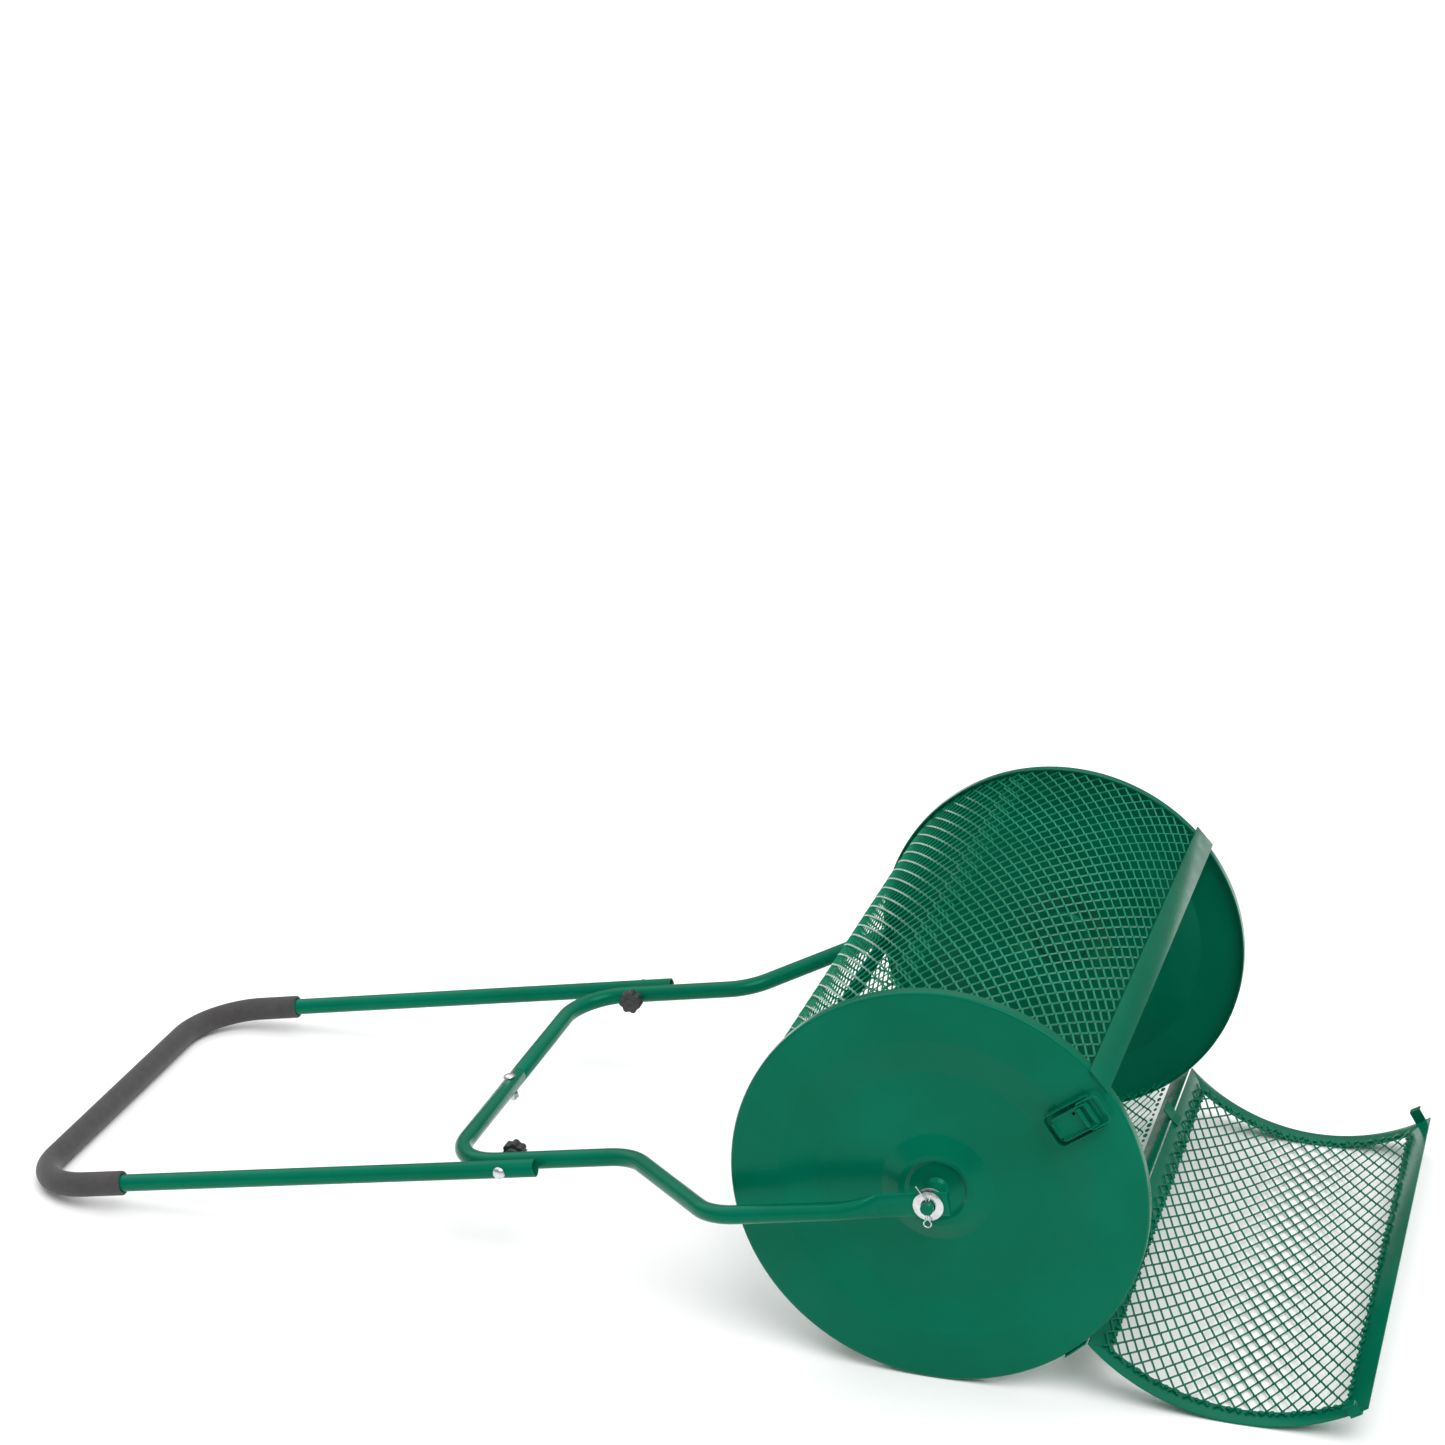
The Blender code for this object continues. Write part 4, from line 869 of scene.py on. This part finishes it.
def upper_handle():
    """The U of tube that folds on the clamp bolts, and its foam sleeve."""
    bend = 0.070
    across = (0, 0, -1)
    start = Vector((-LEG_X, CLAMP_AT - 0.036, 0))
    tube = bar_ring(TUBE_RADIUS, start, (0, 1, 0), 40)
    leg = GRIP_AT - start.y - bend
    run(tube, start, (0, 1, 0), [leg, (bend, 90.0, across), 2 * (LEG_X - bend), (bend, 90.0, across), leg])
    done()
    tidy(tube)
    modified(tube, "SOLIDIFY", thickness=0.0013, offset=-1.0, use_even_offset=True)
    rounded_edges(tube, 0.0003, 2, 60)
    piece(tube, "u_tube", "upper_handle", "green_powder_coat", ["upper_handle_tube"], AT_HANDLE, 35)

    start = Vector((-LEG_X, GRIP_AT - 0.117, 0))
    foam = bar_ring(0.0128, start, (0, 1, 0), 48)
    leg = GRIP_AT - start.y - bend
    straight = [leg / 6] * 6
    middle = [2 * (LEG_X - bend) / 24] * 24
    corner = [(bend, 90.0, across)]
    run(foam, start, (0, 1, 0), straight + corner + middle + corner + straight)
    done()
    tidy(foam)
    modified(foam, "SOLIDIFY", thickness=0.0034, offset=-1.0, use_even_offset=True)
    rounded_edges(foam, 0.0014, 3, 60)
    piece(foam, "foam_sleeve", "upper_handle", "grey_foam", ["foam_grip"], AT_HANDLE, 60)


# ------------------------------------------------------------------ small CAD pieces that stay


def keep_solid(name, finish, bevel):
    """A CAD node whose shape is right: it gets its finish and softened edges."""
    obj = frame["nodes"][name]
    for place in obj.material_slots:
        place.material = FINISH[finish]
    weld = obj.modifiers.new("weld", "WELD")
    weld.merge_threshold = 0.00001
    edges = obj.modifiers.new("edges", "BEVEL")
    edges.width = bevel
    edges.segments = 2
    edges.limit_method = "ANGLE"
    edges.angle_limit = math.radians(35)


end_disc()
drum_mesh()
drum_strips()
drum_welds()
axle_ends()
door_frame()
door_mesh()
latch()
lower_arms()
crossbar_bolt()
clamps()
upper_handle()
for side in ("left", "right"):
    keep_solid(f"door_{side}_hinge_tab", "green_powder_coat", 0.0003)
    keep_solid(f"{side}_latch_keeper", "green_powder_coat", 0.0003)


# ------------------------------------------------------------------ studio


def studio():
    """A plain pale floor, a bright surround and broad soft lights."""
    floor = add(bpy.ops.mesh.primitive_plane_add, size=10.0, location=(0, 0, -0.0005))
    floor.name = "studio_floor"
    paint = bpy.data.materials.new("pale_floor")
    paint.use_nodes = True
    shader = paint.node_tree.nodes["Principled BSDF"]
    shader.inputs["Base Color"].default_value = colour("#FAFAFA")
    shader.inputs["Roughness"].default_value = 0.9
    floor.data.materials.append(paint)
    bpy.context.scene.view_settings.view_transform = "Standard"
    world = bpy.data.worlds.new("studio")
    world.use_nodes = True
    sky = node(world, "ShaderNodeTexCoord")
    height = node(world, "ShaderNodeSeparateXYZ", links={"Vector": (sky, "Generated")})
    glow = node(world, "ShaderNodeMapRange", {"interpolation_type": "SMOOTHSTEP"}, {
        "From Min": 0.15, "From Max": 0.90, "To Min": 0.16, "To Max": 1.15}, {"Value": (height, "Z")})
    # The backdrop itself is white, and only its light on the object falls off towards the horizon
    seen = node(world, "ShaderNodeLightPath")
    backdrop = node(world, "ShaderNodeMath", {"operation": "MAXIMUM"}, None, {
        0: (seen, "Is Camera Ray"), 1: (glow, "Result")})
    world.node_tree.links.new(backdrop.outputs["Value"], world.node_tree.nodes["Background"].inputs["Strength"])
    world.node_tree.nodes["Background"].inputs["Color"].default_value = (1.0, 1.0, 1.0, 1.0)
    bpy.context.scene.world = world
    for name, direction, strength, spread in (
            ("key_softbox", (-0.50, -0.40, 0.90), 1.7, 40), ("back_softbox", (0.3, 0.8, 0.9), 0.5, 50)):
        light = bpy.data.lights.new(name, "SUN")
        light.energy = strength
        light.angle = math.radians(spread)
        holder = bpy.data.objects.new(name, light)
        bpy.context.scene.collection.objects.link(holder)
        holder.location = Vector(direction) * 3
        holder.rotation_euler = Vector(direction).to_track_quat("Z", "Y").to_euler()


def camera():
    """The viewpoint, worked out from the rims of the two discs."""
    azimuth, height, away = math.radians(-73.430), math.radians(19.948), 4.0319
    back = Vector((math.sin(azimuth) * math.cos(height), -math.cos(azimuth) * math.cos(height), math.sin(height)))
    lens = bpy.data.cameras.new("camera")
    lens.sensor_width = 36.0
    lens.lens = 82.888
    lens.clip_end = 100.0
    holder = bpy.data.objects.new("camera", lens)
    bpy.context.scene.collection.objects.link(holder)
    holder.location = AXLE + Vector((0.6342, 0.4861, 0.0844)) + back * away
    holder.rotation_mode = "QUATERNION"
    holder.rotation_quaternion = back.to_track_quat("Z", "Y")
    bpy.context.scene.camera = holder


studio()
camera()
